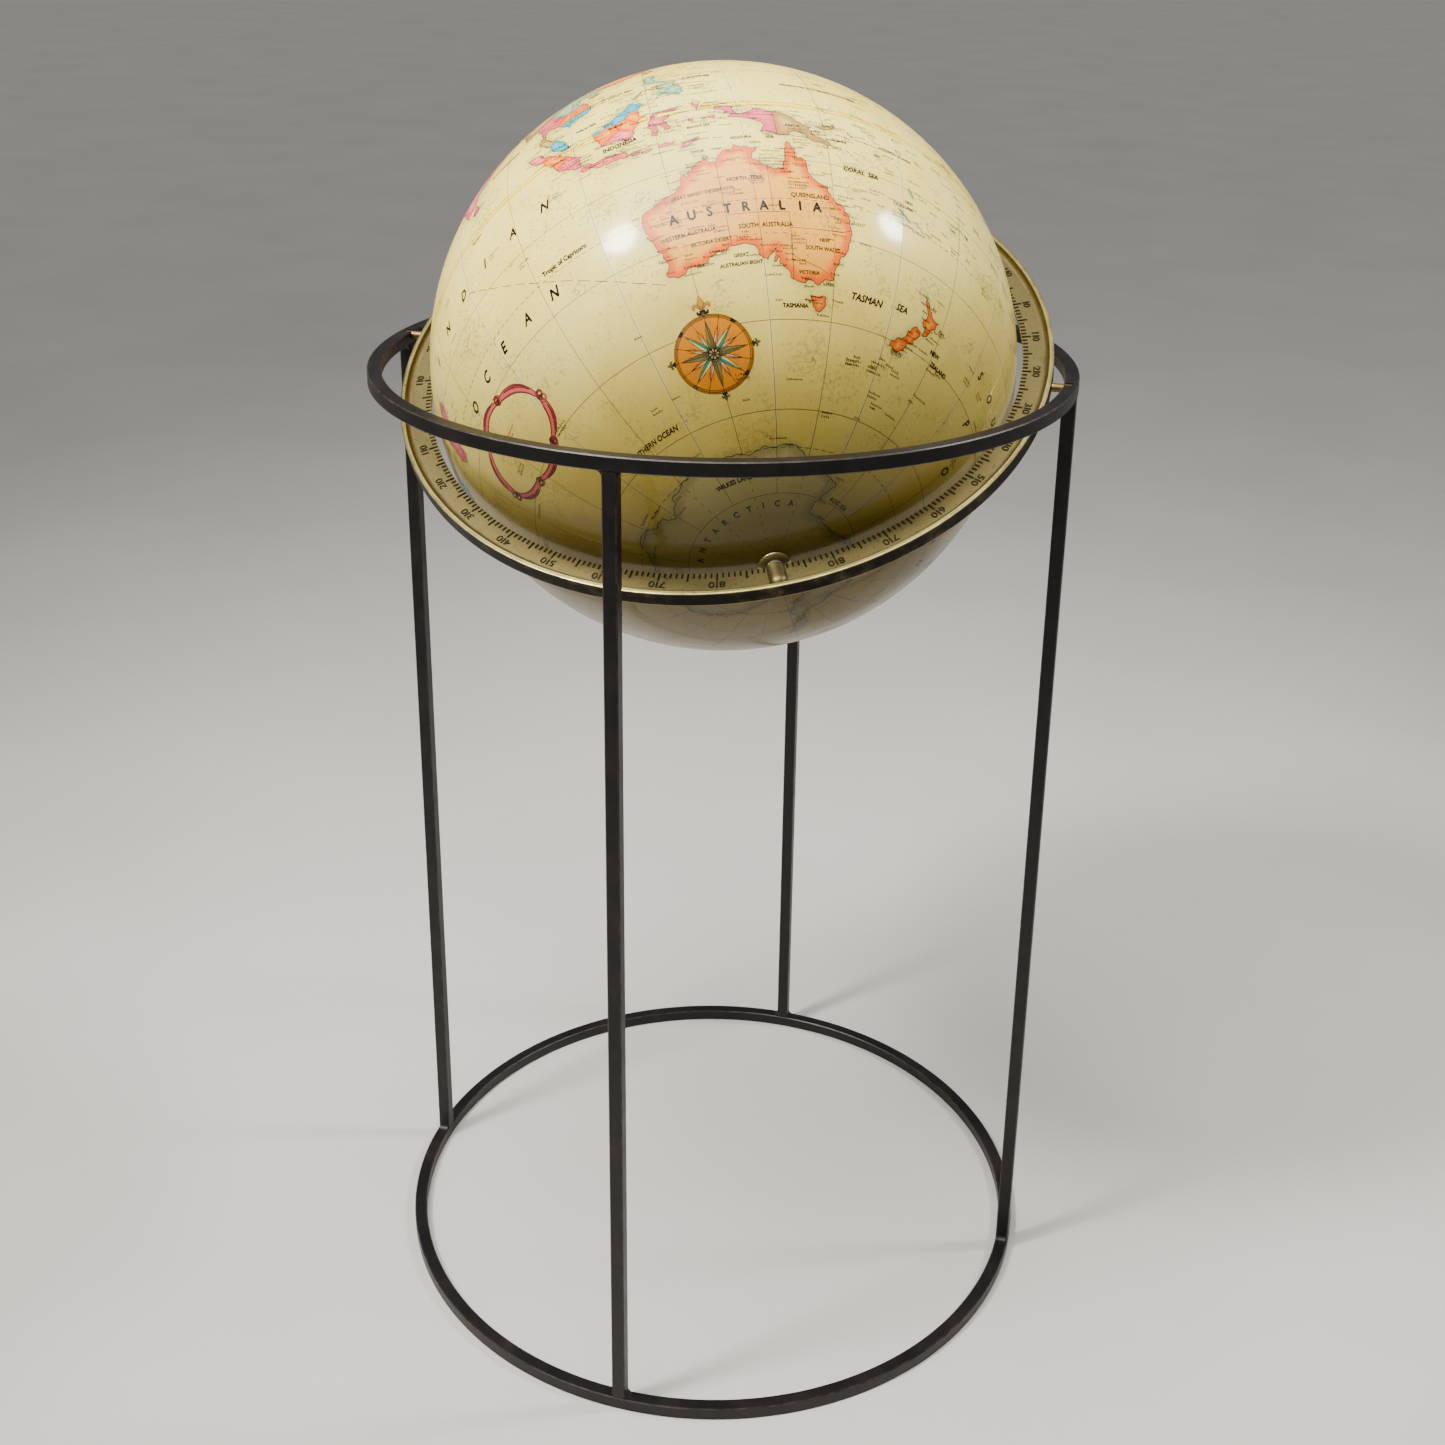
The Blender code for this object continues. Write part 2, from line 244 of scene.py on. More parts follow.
points, faces, worn = turned(bar_outline(HOOP_OUT - BAR, HOOP_OUT, hoop_low, hoop_high), HOOP_STEPS)
top_hoop = place_mesh("top_hoop_bar", points, faces, stand_paint, 30, {"worn": worn})
for side in (1, -1):
    outline = [(NOTCH_R * math.cos(math.pi * (1 + i / 16)), NOTCH_R * math.sin(math.pi * (1 + i / 16)))
               for i in range(17)] + [(NOTCH_R, CLEAR), (-NOTCH_R, CLEAR)]
    count = len(outline)
    ends = [(side * x, y, ball_centre.z + z) for x in (NOTCH_START, NOTCH_END) for y, z in outline]
    sides = [(j, (j + 1) % count, count + (j + 1) % count, count + j) for j in range(count)]
    tool = place_mesh("notch_file", ends, sides + [list(range(count))[::-1], list(range(count, 2 * count))],
                      stand_paint)
    bm = bmesh.new()
    bm.from_mesh(tool.data)
    bmesh.ops.recalc_face_normals(bm, faces=bm.faces)
    bm.to_mesh(tool.data)
    bm.free()
    change = top_hoop.modifiers.new("notch", "BOOLEAN")
    change.operation, change.solver, change.object = "DIFFERENCE", "EXACT", tool
    cut_mesh = baked(top_hoop)
    top_hoop.modifiers.clear()
    top_hoop.data = cut_mesh
    bpy.data.objects.remove(tool)
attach(top_hoop, "stand")
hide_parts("top_hoop")

# --- Legs ------------------------------------------------------------------------------------------------
# Four uprights of the same bar, each with a concave fillet weld to the hoops on both of its sides.
# The beads were run by hand, so their size wanders a little along their length.
LEG_OFFSET = HOOP_OUT - BAR / 2 - 0.0001
LEG_HALF = BAR / 2 - 0.00005          # a hair inside the hoops' faces
LEG_STEPS = 24
BEAD, BEAD_ROWS = 0.0048, 9
BEAD_SHORT, BEAD_ROOT = 0.0012, 0.002 # how far it stops from the leg's edges, and reaches into the bar
leg_low, leg_high = BAR, hoop_low


def between_rows(rows, n, start=0, closed=True):
    """Faces between rows of n points each; in a closed row the last point joins the first."""
    return [(start + i * n + j, start + i * n + (j + 1) % n, start + (i + 1) * n + (j + 1) % n,
             start + (i + 1) * n + j) for i in range(rows - 1) for j in range(n if closed else n - 1)]


for word, angle in (("right", 0), ("back", 90), ("left", 180), ("front", 270)):
    rng = random.Random(angle)
    turn = Matrix.Rotation(math.radians(angle), 4, "Z") @ Matrix.Translation((LEG_OFFSET, 0, 0))
    section = bar_outline(-LEG_HALF, LEG_HALF, -LEG_HALF, LEG_HALF)
    rise = leg_high - leg_low
    levels = [leg_low] + [leg_low + rise * i / LEG_STEPS for i in range(1, LEG_STEPS)] + [leg_high]
    points = [turn @ Vector((x, y, z)) for z in levels for x, y, _ in section]
    worn = [wear for _ in levels for _, _, wear in section]
    n = len(section)
    faces = between_rows(len(levels), n)
    faces += [list(range(n))[::-1], [(len(levels) - 1) * n + j for j in range(n)]]
    for level, up in ((leg_low, 1), (leg_high, -1)):
        for side in (1, -1):
            start = len(points)
            for row in range(BEAD_ROWS):
                x = (row / (BEAD_ROWS - 1) - 0.5) * 2 * (LEG_HALF - BEAD_SHORT)
                size = BEAD * rng.uniform(0.90, 1.0)
                outline = [(LEG_HALF - BEAD_ROOT, 0.0), (LEG_HALF - BEAD_ROOT, size + 0.0005)]
                for i in range(8, -1, -1):
                    a = math.pi / 2 * i / 8
                    outline.append((LEG_HALF + size * (1 - math.sin(a)), size * (1 - math.cos(a))))
                points += [turn @ Vector((x, side * t, level + up * z)) for t, z in outline]
                worn += [0.25] * len(outline)
            m = len(outline)
            bead = between_rows(BEAD_ROWS, m, start)
            last = start + (BEAD_ROWS - 1) * m
            bead += [[start + j for j in reversed(range(m))], [last + j for j in range(m)]]
            flip = side * up > 0
            faces += [tuple(reversed(f)) if flip else tuple(f) for f in bead]
    leg = place_mesh("leg_bar_" + word, points, faces, stand_paint, 30, {"worn": worn})
    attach(leg, "stand")
    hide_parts("leg_" + word)

# --- Pivot pins ------------------------------------------------------------------------------------------
# Two turned brass studs that carry the meridian ring: a thin spigot in the ring's edge and a thicker shank
# that lies loose in the hoop's notch.


def aged_brass(name, hollow, face, bright, rough):
    """Brass with a brown-olive patina: dark where it is never touched, greener on the flats, and rubbed
    bright where "worn" says so. A metal keeps the default IOR."""
    mat, tree, shader, place = new_material(name)
    rub = add_node(tree, "ShaderNodeAttribute", attribute_name="worn")
    cloud = add_node(tree, "ShaderNodeTexNoise",
                     {"Vector": place, "Scale": 55.0, "Detail": 6.0, "Roughness": 0.65})
    shift = add_node(tree, "ShaderNodeMapRange", {"Value": cloud, "From Min": 0.3, "From Max": 0.7,
                                                  "To Min": -0.16, "To Max": 0.16})
    level = add_node(tree, "ShaderNodeMath", {0: rub.outputs["Fac"], 1: shift}, operation="ADD")
    colour = add_node(tree, "ShaderNodeValToRGB", {"Fac": level}, stops=[
        (0.05, hollow), (0.45, face), (0.62, face), (0.92, bright)])
    # Verdigris and dirt specks a millimetre or two across.
    speck = add_node(tree, "ShaderNodeTexNoise", {"Vector": place, "Scale": 520.0, "Detail": 2.0})
    spots = add_node(tree, "ShaderNodeMapRange", {"Value": speck, "From Min": 0.62, "From Max": 0.72,
                                                  "To Max": 0.55})
    tint = add_node(tree, "ShaderNodeMix", {
        "Factor": spots, "A": colour.outputs["Color"], "B": linear(hollow)}, data_type="RGBA")
    dull = add_node(tree, "ShaderNodeMapRange",
                    {"Value": level, "To Min": rough + 0.16, "To Max": rough - 0.06})
    # The cast and tumbled skin: pits about 0.6 mm across and a few hundredths deep.
    skin = add_node(tree, "ShaderNodeTexNoise", {"Vector": place, "Scale": 900.0, "Detail": 4.0})
    bump = add_node(tree, "ShaderNodeBump", {"Height": skin, "Distance": 0.00006, "Strength": 0.4})
    feed(tree, shader, {"Base Color": tint.outputs[2], "Roughness": dull, "Metallic": 0.9, "Normal": bump})
    return mat


def pointing(direction):
    """Turn whose local Z runs along a direction."""
    return Vector(direction).to_track_quat("Z", "Y").to_matrix().to_4x4()


pin_metal = aged_brass("turned_brass_dark_patina", "#2b2013", "#6b5733", "#a08a58", 0.36)
PIN_R, SPIGOT_R = 0.0030, 0.0015
SHOULDER, PIN_START, PIN_END = 0.2282, 0.2234, 0.2417
at_centre = Matrix.Translation(ball_centre)
for word, side in (("right", 1), ("left", -1)):
    outline = [(SPIGOT_R, PIN_START, 0.3), (SPIGOT_R, SHOULDER, 0.1), (PIN_R - 0.0003, SHOULDER, 0.6),
               (PIN_R, SHOULDER + 0.0003, 0.9), (PIN_R, 0.2300, 0.5), (PIN_R, PIN_END - 0.0008, 0.5),
               (PIN_R, PIN_END - 0.0005, 0.9), (PIN_R - 0.0005, PIN_END, 0.9)]
    points, faces, worn = turned(outline, 32, at_centre @ pointing((side, 0, 0)), closed=False)
    pin = place_mesh("pivot_stud_" + word, points, faces, pin_metal, 35, {"worn": worn})
    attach(pin, "pivots")
    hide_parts("pivot_pin_" + word)

# --- Meridian ring ---------------------------------------------------------------------------------------
# A full circle cast in brass: a thin flat web with a degree scale, a cove, and a deep outer rim with a lip.
# It was dipped to an olive-brown patina and then rubbed, so its lip and its edges are brighter.
RING_TILT = math.radians(26.1)
in_ring = at_centre @ Matrix.Rotation(RING_TILT, 4, "X")
POLE_ANGLE = math.radians(113.5)
RING_IN, COVE_START, FLANGE_IN, RING_OUT = 0.2067, 0.2208, 0.2246, 0.2279
WEB, RIM, LIP = 0.0012, 0.00534, 0.0006
RING_STEPS = 720
upper = [(RING_IN, 0.0006, 0.5), (RING_IN, WEB - 0.0003, 0.8), (RING_IN + 0.0003, WEB, 0.8),
         (RING_IN + 0.0012, WEB, 0.52), (COVE_START - 0.0006, WEB, 0.52), (COVE_START, WEB, 0.40)]
for i in range(1, 9):
    a = math.pi / 2 * i / 8
    upper.append((COVE_START + (FLANGE_IN - COVE_START) * math.sin(a),
                  WEB + (RIM - LIP - WEB) * (1 - math.cos(a)), 0.40 + 0.25 * math.sin(a) ** 2))
upper += [(FLANGE_IN + 0.0003, RIM - 0.0002, 0.95), (FLANGE_IN + LIP, RIM, 1.0),
          (RING_OUT - 0.0012, RIM, 0.75), (RING_OUT - 0.0005, RIM, 0.8),
          (RING_OUT - 0.00015, RIM - 0.00015, 0.85), (RING_OUT, RIM - 0.0005, 0.6),
          (RING_OUT, RIM - 0.0011, 0.06), (RING_OUT, 0.0002, 0.02)]
profile = [(r, -z, w) for r, z, w in upper] + upper[::-1]
points, faces, worn = turned(profile, RING_STEPS, in_ring)
ring_metal = aged_brass("cast_brass_olive_patina", "#110b05", "#6c6039", "#a89a62", 0.36)
BOSS_W, BOSS_H, BOSS_TOP = 0.0060, 0.0052, 0.2190
for turn_by in (0, math.pi):
    a = POLE_ANGLE + turn_by
    flatten = Matrix.Scale(BOSS_H / BOSS_W, 4, (0, 0, 1))
    lug = [(0.0022, RING_IN + 0.0001, 0.2), (BOSS_W - 0.0006, RING_IN + 0.0001, 0.6),
           (BOSS_W, RING_IN + 0.0006, 0.7), (BOSS_W, 0.2110, 0.40), (BOSS_W, BOSS_TOP, 0.36)]
    lug += [(BOSS_W * math.cos(math.radians(d)), BOSS_TOP + BOSS_W * math.sin(math.radians(d)),
             0.36 + d / 300) for d in range(10, 86, 8)]
    more, more_faces, more_worn = turned(
        lug, 48, in_ring @ flatten @ pointing((math.cos(a), math.sin(a), 0)), closed=False)
    faces += [[i + len(points) for i in f] for f in more_faces]
    points += more
    worn += more_worn
ring = place_mesh("meridian_ring_casting", points, faces, ring_metal, 32, {"worn": worn})
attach(ring, "ring")
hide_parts("meridian_ring")

# --- Degree scale ----------------------------------------------------------------------------------------
# Raised in the casting on both faces: a tick every degree from the inner edge, longer at each fifth, and
# figures every ten degrees, from 0 at the equator to 80 beside the pole lugs, with a line between their
# two digits and their tops outwards.
TICK_WIDTH, TICK_HEIGHT = 0.0012, 0.00035
SCALE_EDGE = RING_IN + 0.0004                  # where the ticks start
FIGURE_FOOT, FIGURE_HEIGHT = RING_IN + 0.0076, 0.0050
FIGURE_STEP = 0.0034                           # from the line between the digits to a digit's middle
FIGURE_STRETCH = 1.25                          # how much wider than the font's the digits are
FONT_SIZE = FIGURE_HEIGHT * 1.38               # the size at which digits have that height


def geometry_tree(name, inputs):
    """A Geometry Nodes tree with one named input for each size, its input node and its output node."""
    tree = bpy.data.node_groups.new(name, "GeometryNodeTree")
    tree.interface.new_socket("Geometry", in_out="INPUT", socket_type="NodeSocketGeometry")
    tree.interface.new_socket("Geometry", in_out="OUTPUT", socket_type="NodeSocketGeometry")
    for label, kind in inputs.items():
        tree.interface.new_socket(label, in_out="INPUT", socket_type="NodeSocket" + kind)
    return tree, tree.nodes.new("NodeGroupInput"), tree.nodes.new("NodeGroupOutput")


def run_tree(item, tree, values):
    """Give an object the tree with these inputs, and keep the result as its plain mesh."""
    change = item.modifiers.new(tree.name, "NODES")
    change.node_group = tree
    names = {s.name: s.identifier for s in tree.interface.items_tree if s.in_out == "INPUT"}
    for label, value in values.items():
        change[names[label]] = value
    result = baked(item)
    item.modifiers.remove(change)
    item.data = result
    item.data.shade_flat()
    return item


def set_type(text, **settings):
    """The mesh of a word in the plain font, with these text settings."""
    curve = bpy.data.curves.new("type", "FONT")
    curve.body = text
    for key, value in settings.items():
        setattr(curve, key, value)
    item = bpy.data.objects.new("type", curve)
    bpy.context.scene.collection.objects.link(item)
    mesh = baked(item)
    bpy.data.objects.remove(item)
    return mesh


tick_tree, given, out = geometry_tree("degree_ticks", {
    "Count": "Int", "Inner radius": "Float", "Length": "Float", "Width": "Float", "Height": "Float",
    "Level": "Float", "Start angle": "Float", "Material": "Material"})
step_angle = add_node(tick_tree, "ShaderNodeMath", {0: 2 * math.pi, 1: given.outputs["Count"]},
                      operation="DIVIDE")
index = add_node(tick_tree, "GeometryNodeInputIndex")
angle = add_node(tick_tree, "ShaderNodeMath", {0: index, 1: step_angle, 2: given.outputs["Start angle"]},
                 operation="MULTIPLY_ADD")
half_length = add_node(tick_tree, "ShaderNodeMath", {0: given.outputs["Length"], 1: 0.5},
                       operation="MULTIPLY")
radius = add_node(tick_tree, "ShaderNodeMath", {0: given.outputs["Inner radius"], 1: half_length},
                  operation="ADD")
cosine = add_node(tick_tree, "ShaderNodeMath", {0: angle}, operation="COSINE")
sine = add_node(tick_tree, "ShaderNodeMath", {0: angle}, operation="SINE")
x_place = add_node(tick_tree, "ShaderNodeMath", {0: cosine, 1: radius}, operation="MULTIPLY")
y_place = add_node(tick_tree, "ShaderNodeMath", {0: sine, 1: radius}, operation="MULTIPLY")
spot = add_node(tick_tree, "ShaderNodeCombineXYZ", {0: x_place, 1: y_place, 2: given.outputs["Level"]})
spots = add_node(tick_tree, "GeometryNodePoints", {"Count": given.outputs["Count"], "Position": spot})
size = add_node(tick_tree, "ShaderNodeCombineXYZ", {0: given.outputs["Length"], 1: given.outputs["Width"],
                                                    2: given.outputs["Height"]})
block = add_node(tick_tree, "GeometryNodeMeshCube", {"Size": size})
facing = add_node(tick_tree, "ShaderNodeCombineXYZ", {2: angle})
ticks = add_node(tick_tree, "GeometryNodeInstanceOnPoints",
                 {"Points": spots, "Instance": block, "Rotation": facing})
real = add_node(tick_tree, "GeometryNodeRealizeInstances", {0: ticks})
coated = add_node(tick_tree, "GeometryNodeSetMaterial", {0: real, "Material": given.outputs["Material"]})
tick_tree.links.new(coated.outputs[0], out.inputs[0])

# Painted shade: the raised ticks and figures are coloured almost black, standing in for dirt and for the
# shade around the relief.
tick_metal = aged_brass("brass_relief_with_dirt_and_painted_shade", "#080502", "#171006", "#2e2411", 0.45)
turn_over = Matrix.Rotation(math.pi, 4, (math.cos(POLE_ANGLE), math.sin(POLE_ANGLE), 0))
for face_name, flip in (("front", Matrix.Identity(4)), ("rear", turn_over)):
    gather = bmesh.new()
    for count, inner, length in (
        (360, SCALE_EDGE, 0.0036), (72, SCALE_EDGE, 0.0062), (36, FIGURE_FOOT, FIGURE_HEIGHT),
    ):
        part = run_tree(place_mesh("ticks", [(0, 0, 0)], [], tick_metal), tick_tree, {
            "Count": count, "Inner radius": inner, "Length": length, "Width": TICK_WIDTH,
            "Height": TICK_HEIGHT * 2, "Level": WEB, "Start angle": POLE_ANGLE % math.radians(10),
            "Material": tick_metal})
        gather.from_mesh(part.data)
        bpy.data.objects.remove(part)
    for tens in range(36):
        from_pole = abs((tens * 10 + 90) % 180 - 90)     # degrees, to the nearer pole
        if from_pole == 0:
            continue                                     # the pole lugs cover their own figures
        a = POLE_ANGLE + math.radians(tens * 10)
        outwards = Vector((math.cos(a), math.sin(a), 0))
        right = Vector((math.sin(a), -math.cos(a), 0))
        for digit, sign in zip(str(90 - from_pole).rjust(2), (-1, 1)):
            if digit == " ":
                continue
            shape = set_type(digit, size=FONT_SIZE, align_x="CENTER", extrude=TICK_HEIGHT, resolution_u=3,
                             offset=0.00010)
            spot = outwards * FIGURE_FOOT + right * FIGURE_STEP * sign + Vector((0, 0, WEB))
            shape.transform(Matrix.Translation(spot) @ Matrix(
                (right * FIGURE_STRETCH, outwards, (0, 0, 1))).transposed().to_4x4())
            gather.from_mesh(shape)
    scale = place_mesh("degree_scale_" + face_name, [], [], tick_metal)
    gather.to_mesh(scale.data)
    gather.free()
    scale.data.transform(in_ring @ flip)
    # The relief's tops are lighter and its sides darkest: rubbed tops, and painted shade on the sides.
    heights = scale.data.attributes.new("worn", "FLOAT", "POINT")
    level = (in_ring @ flip).inverted()
    heights.data.foreach_set("value", [0.85 if (level @ v.co).z > WEB + TICK_HEIGHT * 0.5 else 0.1
                                       for v in scale.data.vertices])
    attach(scale, "ring")

# --- Pole pins, washers and ferrules ---------------------------------------------------------------------
# A plain turned pin passes through each lug, a pale nylon washer and a pressed brass ferrule into the ball.
north = Vector((in_ring.to_3x3() @ Vector((math.cos(POLE_ANGLE), math.sin(POLE_ANGLE), 0)))).normalized()
nylon, tree, shader, place = new_material("moulded_nylon_natural")
# Natural nylon: off-white, waxy and slightly cloudy.
cloud = add_node(tree, "ShaderNodeTexNoise", {"Vector": place, "Scale": 120.0})
tone = add_node(tree, "ShaderNodeValToRGB", {"Fac": cloud}, stops=[(0.3, "#c9c2ae"), (0.7, "#dad4c2")])
feed(tree, shader, {"Base Color": tone.outputs["Color"], "Roughness": 0.45, "Subsurface Weight": 0.1})
ferrule_metal = aged_brass("pressed_brass_dull", "#33291a", "#8d8257", "#b7aa78", 0.40)
AXLE_R, AXLE_START, AXLE_END, AXLE_CHAMFER = 0.0020, 0.1890, 0.2282, 0.0004
for word, side in (("north", 1), ("south", -1)):
    turn = at_centre @ pointing(north * side)
    points, faces, worn = turned([
        (AXLE_R - AXLE_CHAMFER, AXLE_START, 0.4), (AXLE_R, AXLE_START + AXLE_CHAMFER, 0.5),
        (AXLE_R, 0.2276, 0.2), (AXLE_R, 0.2279, 0.3), (AXLE_R - AXLE_CHAMFER, AXLE_END, 0.1),
    ], 32, turn, closed=False)
    pin = place_mesh("pole_pin_turned_" + word, points, faces, pin_metal, 35, {"worn": worn})
    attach(pin, "ring")
    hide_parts("pole_pin_" + word)
    low, high, bore = 0.2059, 0.20625, 0.0023
    points, faces, _ = turned([
        (bore, low, 0), (0.0049, low, 0), (0.0050, low + 0.0001, 0), (0.0050, high - 0.0001, 0),
        (0.0049, high, 0), (bore, high, 0)], 48, turn)
    washer = place_mesh("washer_nylon_" + word, points, faces, nylon, 35)
    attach(washer, "ring")
    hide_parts("pole_washer_" + word)
    seat, brim = 0.2042, 0.2047
    dome = [(0.0103, seat, 0.4), (0.0105, seat + 0.0002, 0.8), (0.0104, brim, 0.9)]
    dome += [(0.0104 - 0.0044 * i / 6, brim + 0.00100 * math.sin(math.pi / 2 * i / 6), 0.75 - 0.3 * i / 6)
             for i in range(1, 7)]
    points, faces, worn = turned([(bore, seat, 0.2)] + dome + [(bore, 0.20575, 0.5)], 64, turn)
    ferrule = place_mesh("ferrule_pressed_" + word, points, faces, ferrule_metal, 35, {"worn": worn})
    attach(ferrule, "ball")
    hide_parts("pole_ferrule_" + word)

# --- Inside the ball -------------------------------------------------------------------------------------
# Two pressed chipboard half shells butt at the equator over a glued band, on a wound card tube with turned
# beech plugs. None of it shows while the ball is closed, so the CAD solids stay and get their real finish.


def raw_board(name, dark, light, scale, ring_axis=None):
    """Raw grey board, card or end-turned wood: matt, mottled by its fibres or banded by its grain."""
    mat, tree, shader, place = new_material(name)
    if ring_axis:
        grain = add_node(tree, "ShaderNodeTexWave", {"Vector": place, "Scale": scale, "Distortion": 3.0,
                                                     "Detail": 3.0}, bands_direction=ring_axis)
    else:
        grain = add_node(tree, "ShaderNodeTexNoise", {"Vector": place, "Scale": scale, "Detail": 6.0})
    tone = add_node(tree, "ShaderNodeValToRGB", {"Fac": grain}, stops=[(0.3, dark), (0.7, light)])
    bump = add_node(tree, "ShaderNodeBump", {"Height": grain, "Distance": 0.0001, "Strength": 0.5})
    feed(tree, shader, {"Base Color": tone.outputs["Color"], "Normal": bump, "Roughness": 0.85})
    return mat


for finish, nodes in (
    (raw_board("pressed_grey_chipboard", "#8d8577", "#b0a898", 210.0),
     ("north_hemisphere", "south_hemisphere", "joining_band")),
    (raw_board("wound_brown_card", "#8f7550", "#b39871", 150.0), ("axis_tube",)),
    (raw_board("turned_beech_raw", "#b98d5c", "#d3ab7a", 60.0, "X"),
     ("pole_plug_north", "pole_plug_south")),
):
    for node_name in nodes:
        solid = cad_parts[node_name]
        solid.data.materials.clear()
        solid.data.materials.append(finish)

# --- Map gores -------------------------------------------------------------------------------------------
# Twelve offset-printed paper gores cover each half of the ball. Their glued edges overlap in faint ridges,
# and the whole is varnished: cream gone olive with age, flecked, crazed and glossy.
PAPER_R = 0.2030
RIDGE, RIDGE_WIDTH = 0.000022, 0.0007          # height and half width of a glued overlap
GORE, FIRST_SEAM = 30.0, 15.0                  # degrees
SEAM_HIGHLIGHT_HALF = 0.0005                             # half width of the painted highlight line along a glued edge
POLE_HOLE = 0.0060
BALL_TURN = math.radians(53.45)                # how far the ball stands turned on its pole pins
on_axis = in_ring @ Matrix.Rotation(POLE_ANGLE, 4, "Z") @ Matrix.Rotation(math.pi / 2, 4, "Y")
ball_frame = on_axis @ Matrix.Rotation(BALL_TURN, 4, "Z")             # local X at longitude 0, Z north


def off_seam(lon, lat):
    """How far east of the nearest glued edge a place lies, in metres."""
    return np.radians((lon - FIRST_SEAM + GORE / 2) % GORE - GORE / 2) * np.cos(np.radians(lat)) * PAPER_R


def on_paper(lon, lat, lift=0.0):
    """Points of the ball, in its own frame, at longitudes and latitudes in degrees."""
    lon, lat = np.asarray(lon, float), np.asarray(lat, float)
    radius = PAPER_R + RIDGE * np.exp(-(off_seam(lon, lat) / RIDGE_WIDTH) ** 2) + lift
    lon, lat = np.radians(lon), np.radians(lat)
    flat = radius * np.cos(lat)
    return np.stack([flat * np.cos(lon), flat * np.sin(lon), radius * np.sin(lat)], axis=-1)


# The varnish is brownest between the south pole and straight down: real browning towards the south pole,
# and painted shade on the side of the ball that faces the floor.
BROWNING_AND_SHADE_TOWARDS = (0.8 * Vector((0, 0, -1)) - north).normalized()


def aged_varnish(tree, shader, place, print_colour):
    """The varnish over a print: uneven yellowing, browner towards the south pole and darker on the
    underside with painted shade, with brown flecks, hair cracks and dull finger marks under a glossy skin."""
    cloud = add_node(tree, "ShaderNodeTexNoise",
                     {"Vector": place, "Scale": 9.0, "Detail": 5.0, "Roughness": 0.6})
    stain = add_node(tree, "ShaderNodeValToRGB", {"Fac": cloud}, stops=[
        (0.30, "#ffffff"), (0.50, "#f6efd2"), (0.68, "#e4d6a6"), (0.82, "#d0bc82")])
    aged = add_node(tree, "ShaderNodeMix", {"Factor": 0.9, "A": print_colour, "B": stain.outputs["Color"]},
                    data_type="RGBA", blend_type="MULTIPLY")
    # Painted shade: the print is multiplied darker towards the underside as the ball stands, mixed with
    # real browning towards the south pole.
    outward = add_node(tree, "ShaderNodeVectorMath", {0: place, 1: tuple(ball_centre)},
                       operation="SUBTRACT")
    low = add_node(tree, "ShaderNodeVectorMath", {0: outward, 1: tuple(BROWNING_AND_SHADE_TOWARDS)}, operation="DOT_PRODUCT")
    browning_and_shade = add_node(tree, "ShaderNodeMapRange", {
        "Value": low.outputs["Value"], "From Max": 0.78 * PAPER_R, "To Max": 1.0})
    brown = add_node(tree, "ShaderNodeMix", {"Factor": browning_and_shade, "A": aged.outputs[2], "B": linear("#70693f")},
                     data_type="RGBA", blend_type="MULTIPLY")
    # Dirt flecks 0.5 to 2 mm across that crowd together in patches.
    fleck = add_node(tree, "ShaderNodeTexNoise",
                     {"Vector": place, "Scale": 430.0, "Detail": 3.0, "Roughness": 0.6})
    patch = add_node(tree, "ShaderNodeTexNoise", {"Vector": place, "Scale": 34.0, "Detail": 3.0})
    crowd = add_node(tree, "ShaderNodeMath", {0: patch, 1: 0.55, 2: fleck}, operation="MULTIPLY_ADD")
    dirt = add_node(tree, "ShaderNodeMapRange", {"Value": crowd, "From Min": 0.865, "From Max": 0.96,
                                                 "To Max": 0.4})
    flecked = add_node(tree, "ShaderNodeMix", {
        "Factor": dirt, "A": brown.outputs[2], "B": linear("#6d5a2c")}, data_type="RGBA")
    # Hair cracks: the edges of 25 mm cells, bent and broken off so that only short lengths are left.
    bend = add_node(tree, "ShaderNodeTexNoise", {"Vector": place, "Scale": 60.0, "Detail": 2.0})
    bent = add_node(tree, "ShaderNodeVectorMath", {
        0: bend.outputs["Color"], 1: (0.012, 0.012, 0.012), 2: place}, operation="MULTIPLY_ADD")
    cell = add_node(tree, "ShaderNodeTexVoronoi", {"Vector": bent, "Scale": 62.0},
                    feature="DISTANCE_TO_EDGE")
    thin = add_node(tree, "ShaderNodeMapRange", {"Value": cell, "From Min": 0.004, "From Max": 0.012,
                                                 "To Min": 1.0, "To Max": 0.0})
    broken = add_node(tree, "ShaderNodeMapRange", {"Value": patch, "From Min": 0.54, "From Max": 0.60,
                                                   "To Max": 0.55})
    hair = add_node(tree, "ShaderNodeMath", {0: thin, 1: broken}, operation="MULTIPLY")
    crazed = add_node(tree, "ShaderNodeMix", {
        "Factor": hair, "A": flecked.outputs[2], "B": linear("#5d4c27")}, data_type="RGBA")
    dull = add_node(tree, "ShaderNodeMapRange", {"Value": cloud, "From Min": 0.3, "From Max": 0.75,
                                                 "To Min": 0.27, "To Max": 0.42})
    # The varnish flowed out into a shallow orange peel of about 3 mm.
    peel = add_node(tree, "ShaderNodeTexNoise", {"Vector": place, "Scale": 330.0, "Detail": 2.0})
    sunk = add_node(tree, "ShaderNodeMath", {0: hair, 1: -0.8, 2: peel}, operation="MULTIPLY_ADD")
    bump = add_node(tree, "ShaderNodeBump", {"Height": sunk, "Distance": 0.00004, "Strength": 0.55})
    feed(tree, shader, {"Base Color": crazed.outputs[2], "Roughness": dull, "Normal": bump,
                        "Coat Weight": 0.35, "Coat Roughness": 0.12, "Coat IOR": 1.5,
                        "Specular IOR Level": 0.12})


